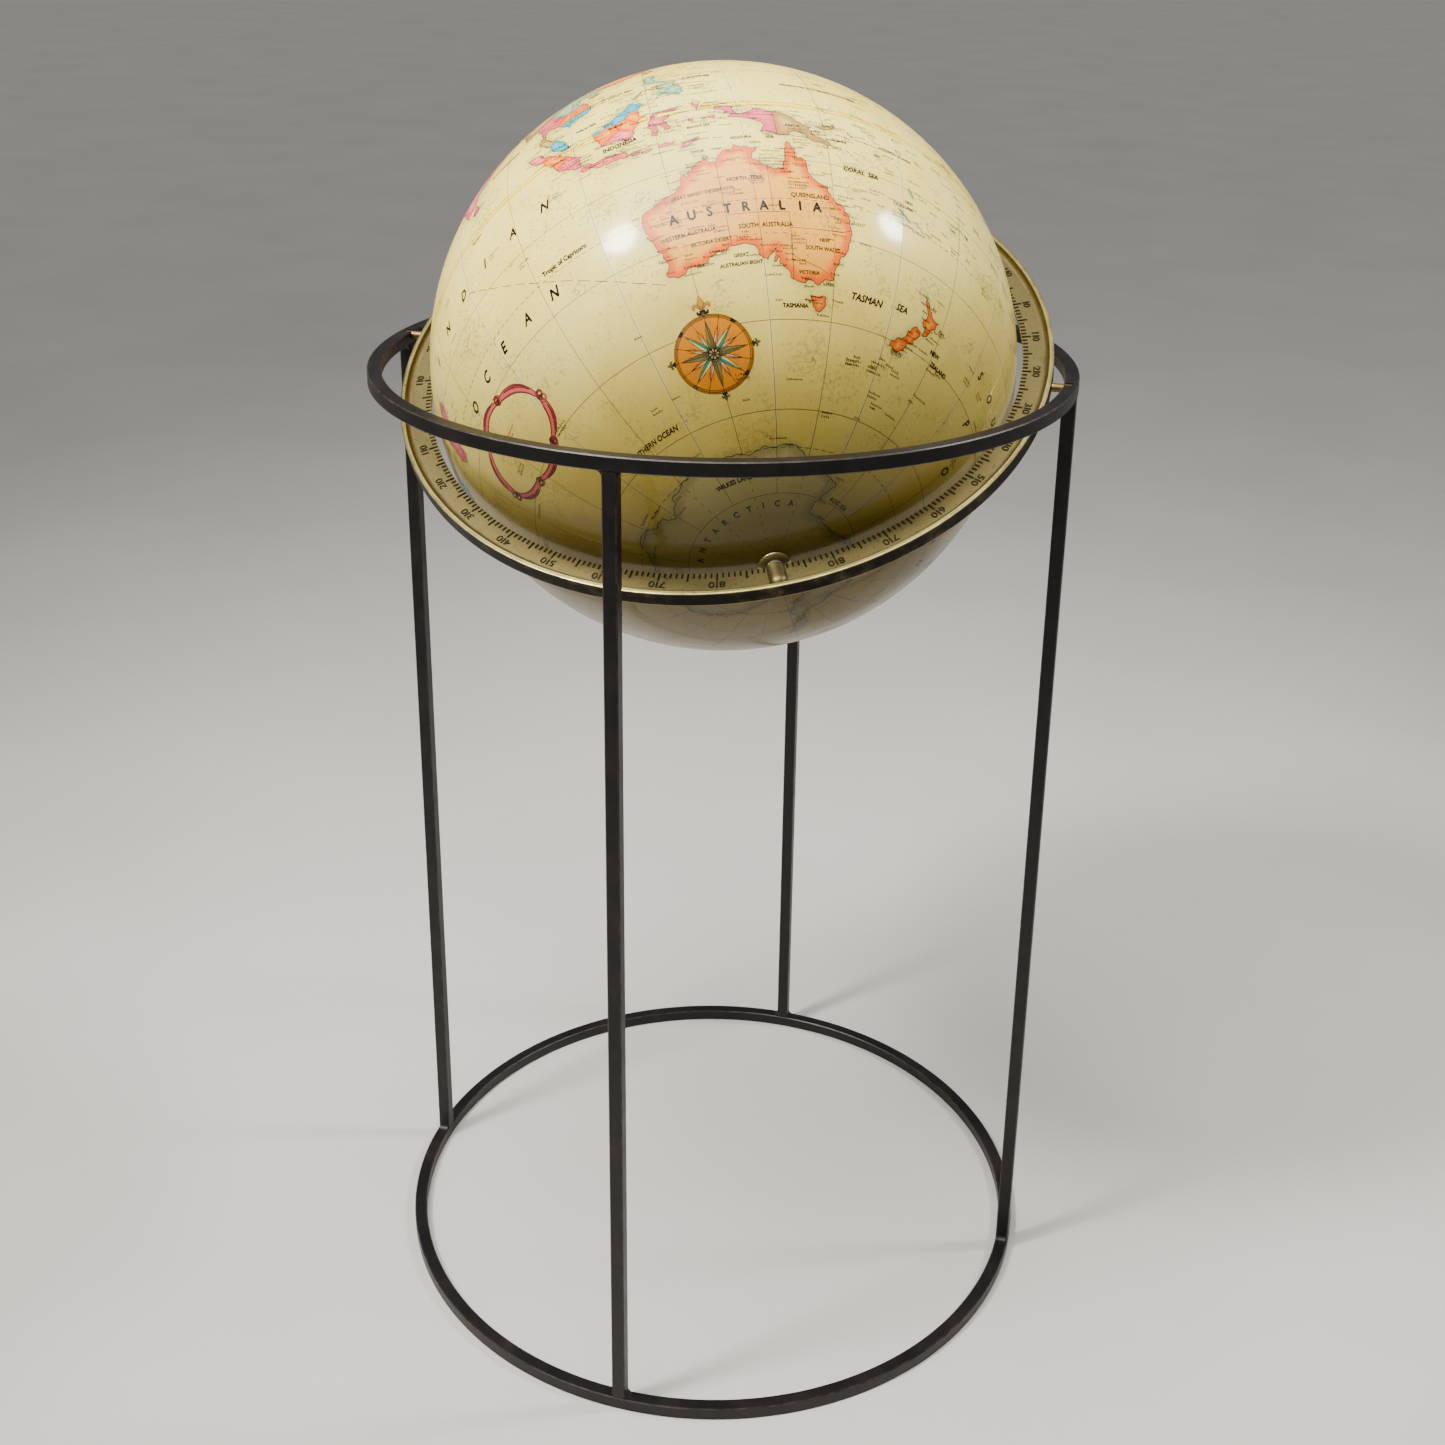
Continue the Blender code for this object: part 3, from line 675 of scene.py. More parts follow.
# Land outlines, as longitude and latitude of the points their shape needs. Each land has the places that
# its states grow from, with a tint; two neighbours meet halfway.
LANDS = {
    "australia": ("""142.5 -10.7 143.4 -12.6 143.6 -14.3 145.2 -14.9 145.4 -16.5 146.2 -18.9 147.6 -19.8
        148.8 -20.4 149.7 -22.4 150.8 -23.4 152.9 -25.3 153.2 -27.3 153.6 -28.7 153 -31.2 152.5 -32.4
        151.3 -33.5 150.8 -34.9 150 -37.1 149.9 -37.6 147.9 -37.9 146.3 -39 145.3 -38.3 144.6 -38.1
        143.6 -38.8 141.6 -38.4 140.4 -37.9 139.8 -36.5 138.9 -35.6 138.2 -35.5 138.5 -34.7 138.1 -34
        137.6 -35.1 137 -35.2 137.5 -34.1 137.9 -32.7 136.6 -33.8 135.9 -34.8 135.2 -34.4 134.2 -33
        133.6 -32.1 131.2 -31.5 129 -31.6 126 -32.3 124.2 -33 123.6 -33.9 120 -33.9 118.3 -34.9 117 -35
        115.1 -34.3 115 -33.6 115.7 -33.2 115.7 -31.6 114.6 -28.8 113.4 -26.4 114.2 -26.3 113.6 -25.2
        113.4 -24.3 113.8 -22.6 114.1 -21.8 115.5 -21.5 117.2 -20.7 119 -20 121.1 -19.5 122.2 -18.2
        122.2 -17.3 122.9 -16.4 123.6 -17.3 123.7 -16.3 124.9 -15.3 126.1 -14.2 127.5 -14 128.3 -14.9
        129.4 -14.9 129.7 -13.6 130.8 -12.4 132.6 -12.1 132.7 -11.4 135.2 -12.2 136.8 -12.2 136 -13.3
        135.5 -14.9 136.9 -15.8 138.8 -16.8 139.3 -17.4 140.8 -17.5 141.6 -15 141.7 -12.9 142.1 -11.2""",
        [(134, -25, "orange")]),
    "tasmania": ("""144.7 -40.8 146.4 -41.1 148.3 -40.9 148.3 -42.2 147.5 -43.2 146.8 -43.6 146 -43.4
        145.3 -42.4""", [(146.5, -42, "orange")]),
    "north_island": ("""172.8 -34.4 174.4 -35.6 175 -36.6 175.6 -36.7 176.6 -37.7 178.5 -37.7
        177.9 -39.1 176.9 -39.6 176.3 -41 175.2 -41.6 174.8 -41.2 175.1 -40.2 173.8 -39.4 174.7 -38.4
        174.7 -37.2 173.6 -35.8""", [(175.5, -38.5, "orange")]),
    "south_island": ("""172.7 -40.6 174.2 -41.2 174.2 -41.9 172.8 -43.3 173.1 -43.8 171.2 -44.4
        170.7 -45.8 169.2 -46.6 168.2 -46.5 166.5 -46 168.2 -44.1 170.4 -43.1 171.4 -41.9 172.1 -40.9""",
        [(170.5, -44, "orange")]),
    "new_guinea": ("""131 -0.8 132.3 -0.4 134.1 -0.8 134.2 -2.4 134.9 -3.3 135.5 -3.3 137.8 -1.5
        140 -2.4 141 -2.6 144.5 -3.9 145.8 -5.3 147.7 -6.1 146.9 -6.9 148.2 -8.6 149.3 -9.1 150.8 -10.3
        149.9 -10.6 147.8 -10.1 146.3 -8.8 144.5 -7.7 143.2 -8.3 143.3 -9.1 141 -9.1 139 -8.1 138 -8.4
        138.9 -7 138 -5.5 135.9 -4.5 133.5 -3.9 132.8 -4 133.9 -3 132.2 -2.9 133 -2.3 131 -1.4""",
        [(138, -5, "rose"), (144, -5, "tan")]),
    "borneo": ("""109.6 2 110.4 1.7 111.3 1.5 111.4 2.7 113 3.2 114.1 4.6 115.4 5.3 116.7 7 117.7 6.4
        119.2 5.3 118 4.2 117.8 3.5 117.9 1.8 119 1 117.6 0.4 117.5 -0.8 116.6 -1.6 116.4 -3 116 -4
        114.6 -4.1 113 -3.2 111.8 -3.5 110.2 -2.9 110 -1.3 109.1 -0.2 109 1.5""",
        [(111.0, 2.9, "blue"), (114.3, 3.5, "blue"), (117.2, 5.9, "blue"), (111.8, -0.1, "coral"),
         (115.5, 0.6, "coral"), (116.8, 1.8, "coral"), (113.5, -2.6, "pink")]),
    "sumatra": ("""95.3 5.6 97.5 5.2 98.7 3.8 100.4 2.3 102.2 1 103.8 -1 104.4 -1.9 106 -3 105.8 -5.7
        104.6 -5.8 102.3 -4 101 -2.5 100.4 -1 98.8 1.7 97.6 2.4 96.4 3.7""",
        [(97, 4.3, "pink"), (101, 0, "coral"), (104, -4, "pink")]),
    "java": ("""105.2 -6.8 106.1 -5.9 108.6 -6.6 110.9 -6.4 112.7 -6.9 114.4 -7.8 114.3 -8.7 111 -8.3
        108.2 -7.8 106.4 -7.4""", [(110, -7, "pink")]),
    "sulawesi": ("""119.8 0.2 120.9 1.3 123 0.9 125.1 1.6 124.3 0.4 121 0.5 120.2 -0.8 121.5 -0.9
        123.3 -0.7 121.8 -1.9 122.9 -4.1 121.8 -4.8 121 -2.8 120.4 -3 120.4 -5.6 119.5 -5.5 119.5 -3.5
        118.8 -2.8 119.8 -0.4""", [(121, -1, "rose")]),
    "flores": ("119.9 -8.4 122 -8.4 122.9 -8.1 122.8 -8.6 121 -8.9 119.9 -8.8", [(121, -8, "pink")]),
    "sumbawa": ("116.8 -8.5 118.2 -8.3 119.1 -8.5 118.6 -8.8 117 -9.1", [(118, -9, "pink")]),
    "bali": ("114.5 -8.2 115.7 -8.3 116.6 -8.4 116.2 -8.9 115.1 -8.8", [(115, -8, "pink")]),
    "timor": ("123.6 -10.3 125 -9 127.2 -8.4 125.6 -9.6 124 -10.3", [(125, -9, "rose")]),
    "halmahera": ("127.5 2.1 128 1 128.8 1.5 128.3 0.4 128 -0.8 127.6 0.6", [(128, 1, "rose")]),
    "seram": ("128 -3.3 130.8 -3 130.6 -3.8 128.4 -3.5", [(129, -3, "rose")]),
    "buru": ("126 -3.2 127.1 -3.2 126.9 -3.8 126.2 -3.7", [(126, -3, "rose")]),
    "new_britain": ("""148.4 -5.7 150.3 -5.5 151.4 -4.9 152.2 -4.2 152.1 -5.1 150.8 -6.1 149.5 -6.3""",
        [(150, -6, "tan")]),
    "bougainville": ("154.7 -5.4 155.9 -6.7 155.2 -6.6", [(155, -6, "tan")]),
    "guadalcanal": ("159.6 -9.3 160.8 -9.8 160.2 -9.9 159.6 -9.7", [(160, -9, "tan")]),
    "new_caledonia": ("164.1 -20.2 165.8 -21.3 167 -22.3 166.2 -22.1 164.9 -21.3", [(165, -21, "teal")]),
    "vanuatu": ("166.6 -14.7 167.2 -15.5 167.6 -16.5 167.3 -16.4 166.7 -15.5", [(167, -15, "teal")]),
    "fiji": ("177.4 -17.6 178.6 -17.7 178.5 -18.2 177.5 -18.2", [(178, -18, "teal")]),
    "mindanao": ("""121.9 7 123.5 8.5 125.4 9.7 126.3 8.9 126.5 7.2 125.6 5.7 125.3 6.9 124 6.8
        123.3 7.4""", [(125, 8, "teal")]),
    "luzon": ("""120.3 16 120.6 18.5 122.2 18.4 121.6 15.9 122 14.2 124.1 12.8 123.4 13 120.9 13.8
        120.2 15""", [(121, 16, "teal")]),
    "visayas": ("""122 11.8 123.2 11.4 124.4 12.5 125.6 12.1 125.1 10.2 123.5 9.4 122.6 9.6 122 10.6""",
        [(123, 11, "teal")]),
    "palawan": ("117.2 8.4 119.5 11.3 118.9 10.2", [(118, 9, "teal")]),
    "ceylon": ("79.9 8.9 80.2 9.8 81.8 7.5 81.2 6.2 80.2 6.1", [(80, 7, "rose")]),
    "formosa": ("120.1 23 121 25.1 121.9 25 120.9 22", [(121, 23, "orange")]),
    "hainan": ("108.7 19.3 110.6 20.1 110.9 19.6 109.6 18.2", [(109, 19, "tan")]),
    "honshu": ("""131 34.2 133 35.5 136 35.7 136.9 37.3 138.5 37.3 140 39.5 140.3 41.2 141.5 41.3
        142 39.6 141 38.2 140.8 35.8 139.8 35 138.2 34.7 135.8 33.5 135.1 34.6 132.4 34.2""",
        [(138, 36, "coral")]),
    "hokkaido": ("""140.1 41.6 140.4 43.3 141.8 45.4 143.8 44.2 145.4 43.3 143.3 42 141 42.5""",
        [(142, 43, "coral")]),
    "kyushu": ("129.8 33 131 33.9 131.9 33 131.1 31.3 130.2 31.3", [(131, 32, "coral")]),
    "sakhalin": ("142.1 46 142 51 142.8 54.3 143.3 52 144.5 49 143 47", [(143, 50, "tan")]),
    "madagascar": ("""49.3 -12 50.4 -15.6 49 -18.5 47.1 -24.9 45.3 -25.6 43.7 -23.5 44.4 -20 44 -17
        46.3 -15.7 48 -13.5""", [(47, -19, "rose")]),
    "africa": ("""-5.9 35.8 -2 35.1 3 36.8 9.8 37.3 11 36.9 10.2 34 15.2 32.3 19 30.3 20.2 32.6
        23.1 32.5 29 30.9 32.2 31.2 32.6 29.7 35.5 24 37.2 21 38.6 18 43.2 12 44.5 10.4 51.2 11.9
        50.8 9.3 48 4.5 44 1 41.5 -1.9 39.2 -4.7 38.8 -6.4 40.6 -10.5 40.6 -15 37 -17.8 34.8 -19.9
        35.5 -23.5 32.8 -25.9 32.5 -28.5 30 -31.3 27 -33.6 22.5 -34 20 -34.8 18.4 -34.1 17.9 -32.7
        16.5 -28.6 15 -26.5 14.5 -22.8 11.8 -18 13.8 -12.5 13.2 -8.8 12.2 -6 9.6 -2.4 8.8 -0.7 9.8 1
        9.6 3.8 8.5 4.6 6 4.3 4.4 6.3 1.2 6.1 -2 4.8 -4.5 5.2 -7.6 4.4 -11.4 6.9 -13.3 9 -15 10.9
        -16.7 12.4 -17.5 14.7 -16.5 16.2 -16.3 19.2 -17 21 -15.9 23.8 -14.4 26.2 -12.9 27.9 -9.9 29.6
        -9.8 31.4 -6.8 34""",
        [(-6, 32, "tan"), (3, 28, "coral"), (10, 34, "teal"), (17, 27, "pink"), (29, 27, "straw"),
         (30, 15, "coral"), (40, 9, "tan"), (46, 6, "pink"), (38, 0, "orange"), (35, -6, "straw"),
         (18, 15, "straw"), (8, 17, "pink"), (-3, 17, "orange"), (-11, 20, "straw"), (8, 9, "teal"),
         (20, 6, "teal"), (-10, 10, "rose"), (23, -3, "coral"), (13, 0, "pink"), (18, -12, "orange"),
         (27, -14, "pink"), (37, -14, "tan"), (30, -19, "blue"), (17, -22, "straw"), (24, -22, "rose"),
         (24, -30, "coral")]),
    "britain": ("""-5.5 50.2 -3.5 50.3 1.4 51.2 1.7 52.7 0.2 53 -1.5 55 -3 56 -2 57.6 -4 57.8 -3.1 58.6
        -5 58.6 -5.8 57 -4.9 54.8 -3 54 -4.5 53 -4.3 52.2 -5.2 51.8 -3.1 51.3""", [(-2, 53, "rose")]),
    "ireland": ("-6.2 52.3 -6 53.5 -5.6 54.6 -7.5 55.3 -9.9 54 -9.5 52.6 -10 51.6", [(-8, 53, "straw")]),
    "iceland": ("-22.5 64 -18.5 63.4 -14 64.7 -15 66.2 -20 66 -24 65.5", [(-19, 65, "pink")]),
    "novaya_zemlya": ("52 71 55.5 75 68 76.9 60 74.5 57 71", [(58, 73, "tan")]),
    "eurasia": ("""-9.3 38.8 -8.9 37 -6.4 36.8 -5.6 36 -2.2 36.8 -0.4 38.4 0.2 40.7 3.2 42.2 4 43.5
        7.5 43.8 10.3 43.2 12.3 41.7 15.6 40.1 15.7 38 16.6 38.6 17.1 39.4 18.4 40 16 41.7 13.6 43.6
        12.4 45.3 13.7 45.5 15.3 44.2 19.4 41.9 19.4 40.2 21.5 37 23 36.5 24 37.9 22.9 40.3 26 40.8
        26.5 39.3 27.2 37 30.6 36.8 36 36.8 35 32.5 34.3 31.3 32.6 31 33 29.5 34.2 27.8 35 29.5 36.6 26
        39 21.5 42.6 16.5 43.4 12.7 45.1 12.9 52.2 15.7 55.2 17.7 58.5 20.5 59.8 22.5 56.8 24.4
        56.3 26.2 54 24.1 51.5 24.6 51.2 26.1 50 26.7 48 30 50.3 30 52.5 27.6 56.5 27.1 58 25.6
        61.6 25.2 66.5 25.3 68 23.6 70 20.8 72.5 21 72.8 19 74.5 14 77.5 8.1 79.8 10.3 80.2 13.5
        82.3 16.6 86.9 20.7 89 21.8 91.8 22.4 94.2 18.5 94.4 16 97.2 17 98.6 13.5 98.4 10 98.3 8
        100.4 5.5 101.3 2.9 103.5 1.3 104.2 1.6 103.4 4.5 102 6.3 100.3 8.3 99.3 9.8 100.1 13.4 101 12.6
        102.9 11 104.9 8.7 106.8 10.4 109.3 11.8 108.8 15.2 105.8 18.9 107 21 108.2 21.6 109.8 20.6
        110.5 21.3 114.2 22.4 117 23.5 119.6 25.6 121.8 29 121.9 31.7 119.3 34.9 122.4 37.2 119 37.5
        118 39.2 121.4 40.9 121.3 38.9 124.5 40 125.2 37.8 126.5 34.5 129.1 35.2 129.4 37 127.5 39.5
        130.7 42.3 135.5 44.2 140.4 48.5 140.5 50.2 141.2 53.2 137.8 54 135.3 54.8 142.5 59.2 149.5 59.7
        155 59.3 163.8 62.5 162.5 59.8 156.8 57.8 156 51.3 160 53.3 162.9 57.5 166.3 60 170.5 60
        177.5 62.6 179 64.5 187.5 64.4 190 66 185 67.2 180 69 170.5 70.1 160 69.7 150.5 71.6 139.8 72.3
        130 71 126 73.5 113.5 73.6 104.5 77.7 98 76.2 87 75 80.5 72.5 72.8 71 68.5 68.3 60 69.4 54 68.4
        44.5 68.4 44 66.1 39.8 64.6 36.5 64.2 34.8 66.2 41 66.8 38.5 67.8 28.5 71 19 69.8 13 66
        10.5 63.8 5 61.8 5.6 58.8 8.2 58.1 10.7 59.5 12.8 55.5 16.4 56.8 18.8 60 17.3 61.8 21.5 64.5
        25 65.5 21.4 61.5 22.9 59.9 28.5 60.4 24 59.3 23.6 58 21 55.3 18.6 54.5 14 54 10.9 54 10.5 57.5
        8.2 57 8.6 53.9 4.7 53 2.5 51.1 0.2 49.6 -1.8 49.5 -4.7 48.4 -1.2 46 -1.7 43.4 -8 43.7 -9.2 42.5
        -8.8 41""",
        [(-4, 40, "coral"), (2, 47, "pink"), (12, 43, "straw"), (10, 51, "tan"), (15, 63, "teal"),
         (9, 61, "rose"), (26, 63, "pink"), (20, 52, "rose"), (19, 47, "straw"), (25, 45, "coral"),
         (21, 41, "teal"), (33, 50, "straw"), (33, 39, "pink"), (50, 60, "tan"), (44, 33, "tan"),
         (45, 24, "straw"), (48, 16, "coral"), (54, 33, "rose"), (66, 33, "teal"), (60, 40, "orange"),
         (67, 48, "orange"), (69, 29, "coral"), (77, 27, "pink"), (77, 17, "pink"), (84, 25, "pink"),
         (84, 28.5, "teal"), (90, 24, "straw"), (95, 22, "tan"), (101, 16, "rose"), (99, 8, "tan"),
         (102.5, 3.5, "blue"), (104, 18, "teal"), (106, 14, "coral"), (107, 11, "blue"), (104, 46, "straw"),
         (90, 36, "coral"), (112, 32, "coral"), (122, 45, "coral"), (90, 60, "tan"), (130, 62, "tan"),
         (165, 64, "tan"), (127, 40, "teal"), (128, 36.5, "straw")]),
    "greenland": ("""-45 60 -43 61.5 -40 65 -22.5 70 -18 77 -30 83.3 -60 81.8 -68 77 -58 75.5 -54 70
        -53 66 -50 62""", [(-40, 72, "rose")]),
    "baffin_island": ("""-62 66 -68 62.8 -76 64.5 -73 68 -86 70 -89 73.7 -80 73.7 -68 70""",
        [(-70, 68, "pink")]),
    "victoria_island": ("-117 71 -105 69.5 -103 72 -115 73.3", [(-110, 71, "pink")]),
    "ellesmere": ("-88 77 -78 77.5 -66 81.8 -72 83 -90 81.8", [(-80, 80, "pink")]),
    "newfoundland": ("-59.4 47.8 -53 46.8 -55.5 51.5 -57.5 50", [(-56, 48, "pink")]),
    "cuba": ("-84.9 21.9 -81 23.1 -77 21.9 -74.3 20.2 -77.7 19.9 -80.5 21.8", [(-79, 22, "coral")]),
    "hispaniola": ("-74.4 18.4 -72.8 19.9 -68.4 18.7 -71.5 17.8", [(-73, 19, "teal"), (-70, 19, "pink")]),
    "north_america": ("""-168 65.6 -156.5 71.3 -141 69.7 -128 70.3 -115 68.3 -108 68 -95 68 -94 72
        -88 68.5 -82 69.5 -81 67.2 -87 64.8 -94 61 -92.5 57 -82.3 55.1 -81.5 53 -79 51.5 -79 54.5 -77 57
        -78 62.4 -72 61.5 -69.5 58.8 -65 60 -61.5 56.5 -56 52.5 -60 50.2 -66.5 50.2 -65 47.5 -60.5 46
        -66 43.7 -70.2 43.5 -70.5 41.8 -74 40.5 -75.9 36.5 -76 35 -81 32 -81.3 29.5 -80.2 25.5 -82.5 28
        -84 30 -89.5 30.2 -89.5 29.2 -94 29.6 -97.3 27.5 -97.8 22.5 -96 19 -92 18.6 -90.5 21 -87 21.5
        -88.2 17 -88 15.8 -83.3 15 -83.7 11 -81.5 9 -79.5 9.5 -77.6 8.8 -78 7.5 -80.4 7.6 -83 8.3
        -85.7 10 -87.6 12.9 -94 16.1 -99.5 16.7 -105.5 20.4 -105.8 22.7 -109.3 26 -112.8 30.5
        -114.6 31.6 -111.2 25.8 -109.5 23 -112 25.2 -115 28.5 -117.2 32.6 -120.6 34.6 -122.5 37.8
        -124.3 40.3 -124 46.2 -123 49 -128 51.5 -131 55.5 -136.5 58.5 -145 60.3 -152 59.5 -153.8 57.5
        -162 55.2 -157.5 58.7 -162 59.5 -166 61.5 -161 64.5 -166.5 64.6""",
        [(-150, 64, "coral"), (-132, 62, "pink"), (-120, 60, "pink"), (-100, 58, "pink"), (-78, 53, "pink"),
         (-65, 54, "pink"), (-115, 45, "coral"), (-105, 40, "straw"), (-95, 44, "coral"),
         (-85, 44, "straw"), (-77, 41, "coral"), (-70, 44, "straw"), (-117, 37, "tan"), (-110, 34, "coral"),
         (-99, 33, "tan"), (-89, 34, "teal"), (-81, 31, "coral"), (-101, 22, "orange"), (-90, 16, "teal"),
         (-86, 14, "rose"), (-83, 9, "straw")]),
    "south_america": ("""-77.3 8.5 -75.5 10.7 -71.7 12.3 -71.5 11 -68 11.4 -62 10.7 -60 8.5 -57 6
        -51.8 4.2 -50 0.5 -48.5 -1 -44.3 -2.6 -39 -3.2 -35.3 -5.3 -34.9 -8.2 -37.2 -11.4 -39 -13.5
        -39.2 -17.8 -41 -22 -44.5 -23.1 -48.6 -26 -48.7 -28.4 -53.4 -33.8 -56 -34.9 -58.3 -34.2
        -57 -36.5 -58.5 -38.6 -62.2 -39 -65 -41 -63.7 -42.6 -67.4 -46 -65.8 -47.8 -69 -51.5 -68.3 -52.8
        -65.2 -54.7 -68.5 -55.6 -72.5 -53.5 -75.5 -50 -74.5 -45 -73 -41.8 -73.6 -37.5 -71.5 -32.5
        -70.3 -25.5 -70.3 -18.4 -76.2 -14 -79.5 -7.5 -81.3 -4.7 -80 -2.5 -80.8 -1 -80 0.8 -78.8 1.8
        -77.3 4.5 -77.8 7.2""",
        [(-73, 4, "pink"), (-65, 7, "straw"), (-58, 5, "coral"), (-53, 4, "teal"), (-78.5, -1, "orange"),
         (-76, -9, "coral"), (-65, -17, "pink"), (-58, -23, "straw"), (-56, -33, "rose"),
         (-65, -33, "coral"), (-69, -45, "coral"), (-73.5, -33, "teal"), (-73.5, -45, "teal"),
         (-70, -22, "teal"), (-53, -10, "straw"), (-44, -8, "straw"), (-62, -4, "straw"),
         (-50, -22, "straw")]),
    "antarctica": ("""-158 -78 -150 -77 -147 -76 -137 -75 -126 -73.7 -114 -74 -102 -72.3 -95 -73
        -85 -73.3 -75 -72.8 -68 -72 -67 -67.5 -62 -64.5 -57.5 -63.4 -58 -64.5 -61 -66 -62.5 -69 -61 -74
        -66 -77 -78 -78.5 -70 -81 -60 -82.5 -45 -80 -36 -78 -28 -76 -20 -73.5 -10 -71 0 -69.8 15 -69.8
        30 -69.3 35 -69 40 -68.8 50 -66.5 56 -66 62 -67.5 70 -68.2 73 -70 76 -69.3 82 -67.3 90 -66.5
        100 -65.6 110 -66 115 -66.5 120 -66.8 130 -66 136 -66.2 145 -67 150 -68.4 158 -69.3 165 -70.6
        170.5 -71.6 167 -74 163.5 -76 164 -78 170 -78.3 180 -78.3 190 -78.5""", [(60, -80, "ice")]),
    "black_sea": ("28 43 29 41.2 35 42 41.5 41.6 37.5 44.7 39 47.2 35.2 46.2 33.5 44.6 31 46.6", []),
    "caspian_sea": ("""49 46 51.5 46.9 53 45.2 50.5 44.4 53.8 42 53.8 37 50.5 37.3 49 38.6 49.5 40.5
        47.5 43""", []),
    "great_lakes": ("""-92 46.8 -88 48.8 -84.6 46.6 -80 45 -80 43.3 -82.5 42 -84 45.5 -87 45.2
        -87.5 41.8""", []),
    "lake_victoria": ("31.8 -0.8 33.5 0.4 34.1 -0.6 32.8 -2.5", []),
    "lake_baikal": ("104 51.5 109.8 55.7 106 52.6", []),
}
# Edge and middle colours of the printed tints.
TINTS = {
    "orange": ("#e86400", "#ecaa42"), "coral": ("#f2701c", "#f6a548"), "pink": ("#ea5272", "#f28f8c"),
    "rose": ("#dd5c78", "#e8808c"), "tan": ("#a8834a", "#ccb078"), "blue": ("#2b9bc4", "#4fb3cf"),
    "teal": ("#79b3a2", "#b4c9a4"), "straw": ("#c9ae4e", "#e3d492"), "ice": ("#c3bd8c", "#e6dcae"),
    "sea": ("#c3c39c", "#e4dcb2"),
}
ROUGH_COAST = 0.11                             # sideways wander of a coast, against its length
COAST_STEP = 1.3                               # mm between the points of a printed coast
TINT_GRID = 3.2                                # mm between the points inside a tint
MM = 1000.0


def plane_at(lon, lat):
    """East, north and outward unit vectors at a place on the ball: the axes of a flat drawing there."""
    lon, lat = math.radians(lon), math.radians(lat)
    east = (-math.sin(lon), math.cos(lon), 0)
    up = (math.cos(lat) * math.cos(lon), math.cos(lat) * math.sin(lon), math.sin(lat))
    return np.array([east, np.cross(up, east), up])


def draw_flat(axes, lonlat):
    """Map places to millimetres on a flat drawing, keeping distances from its centre."""
    lon, lat = np.radians(np.asarray(lonlat, float).T)
    unit = np.stack([np.cos(lat) * np.cos(lon), np.cos(lat) * np.sin(lon), np.sin(lat)], axis=-1) @ axes.T
    away = np.arccos(np.clip(unit[:, 2], -1, 1))
    stretch = np.where(away > 1e-6, away / np.maximum(np.sin(away), 1e-9), 1.0) * PAPER_R * MM
    return unit[:, :2] * stretch[:, None]


def wrap_flat(axes, flat):
    """Longitudes and latitudes of the points of a flat drawing."""
    flat = np.asarray(flat, float)
    reach = np.maximum(np.hypot(flat[:, 0], flat[:, 1]), 1e-9)
    away = reach / (PAPER_R * MM)
    unit = np.stack([flat[:, 0] / reach * np.sin(away), flat[:, 1] / reach * np.sin(away), np.cos(away)],
                    axis=-1) @ axes
    return np.degrees(np.arctan2(unit[:, 1], unit[:, 0])), np.degrees(np.arcsin(np.clip(unit[:, 2], -1, 1)))


def wander(a, b, rng, rough, step):
    """Points from a up to b with a coast's broken wandering, halved until they are a step apart."""
    length = math.dist(a, b)
    if length < step:
        return [a]
    push = max(-0.22, min(0.22, rng.gauss(0, rough)))
    middle = ((a[0] + b[0]) / 2 - (b[1] - a[1]) * push, (a[1] + b[1]) / 2 + (b[0] - a[0]) * push)
    return wander(a, middle, rng, rough, step) + wander(middle, b, rng, rough, step)


def search_tree(points):
    """A tree that finds the nearest of these points."""
    tree = kdtree.KDTree(len(points))
    for i, p in enumerate(points):
        tree.insert(p, i)
    tree.balance()
    return tree


def filled(outline, grid):
    """Triangles that fill a flat closed outline, with inner points on a grid."""
    ring_points = np.array(outline)
    lo, hi = ring_points.min(0), ring_points.max(0)
    xs, ys = np.meshgrid(np.arange(lo[0], hi[0], grid), np.arange(lo[1], hi[1], grid * 0.87))
    xs = xs + (np.arange(len(ys))[:, None] % 2) * grid / 2
    inner = np.stack([xs.ravel(), ys.ravel()], axis=-1)
    inside = np.zeros(len(inner), bool)
    for (x1, y1), (x2, y2) in zip(ring_points, np.roll(ring_points, -1, axis=0)):
        if y1 != y2:
            crosses = (y1 > inner[:, 1]) != (y2 > inner[:, 1])
            inside ^= crosses & (inner[:, 0] < (x2 - x1) * (inner[:, 1] - y1) / (y2 - y1) + x1)
    rim_tree = search_tree([(x, y, 0) for x, y in ring_points])
    inner = [p for p in inner[inside] if rim_tree.find((p[0], p[1], 0))[2] > grid * 0.4]
    n = len(ring_points)
    points = [Vector(p) for p in ring_points] + [Vector(p) for p in inner]
    result = geometry.delaunay_2d_cdt(points, [(i, (i + 1) % n) for i in range(n)], [], 1, 1e-4)
    return np.array([tuple(p) for p in result[0]]), [tuple(f) for f in result[2]]


coasts, tints = [], []
for name, (text, states) in LANDS.items():
    numbers = [float(word) for word in text.split()]
    lonlat = list(zip(numbers[::2], numbers[1::2]))
    unit = on_paper(*np.array(lonlat).T)
    middle = unit.mean(0) / np.linalg.norm(unit.mean(0))
    centre = (math.degrees(math.atan2(middle[1], middle[0])), math.degrees(math.asin(middle[2])))
    axes = plane_at(*((0, -90) if name == "antarctica" else centre))
    corners = [tuple(p) for p in draw_flat(axes, lonlat)]
    rng = random.Random(name)
    outline = []
    for a, b in zip(corners, corners[1:] + corners[:1]):
        outline += wander(a, b, rng, ROUGH_COAST, COAST_STEP)
    coasts.append(wrap_flat(axes, outline))
    if states or name.endswith(("sea", "lakes", "baikal", "victoria")):
        tints.append((axes, *filled(outline, TINT_GRID), states))

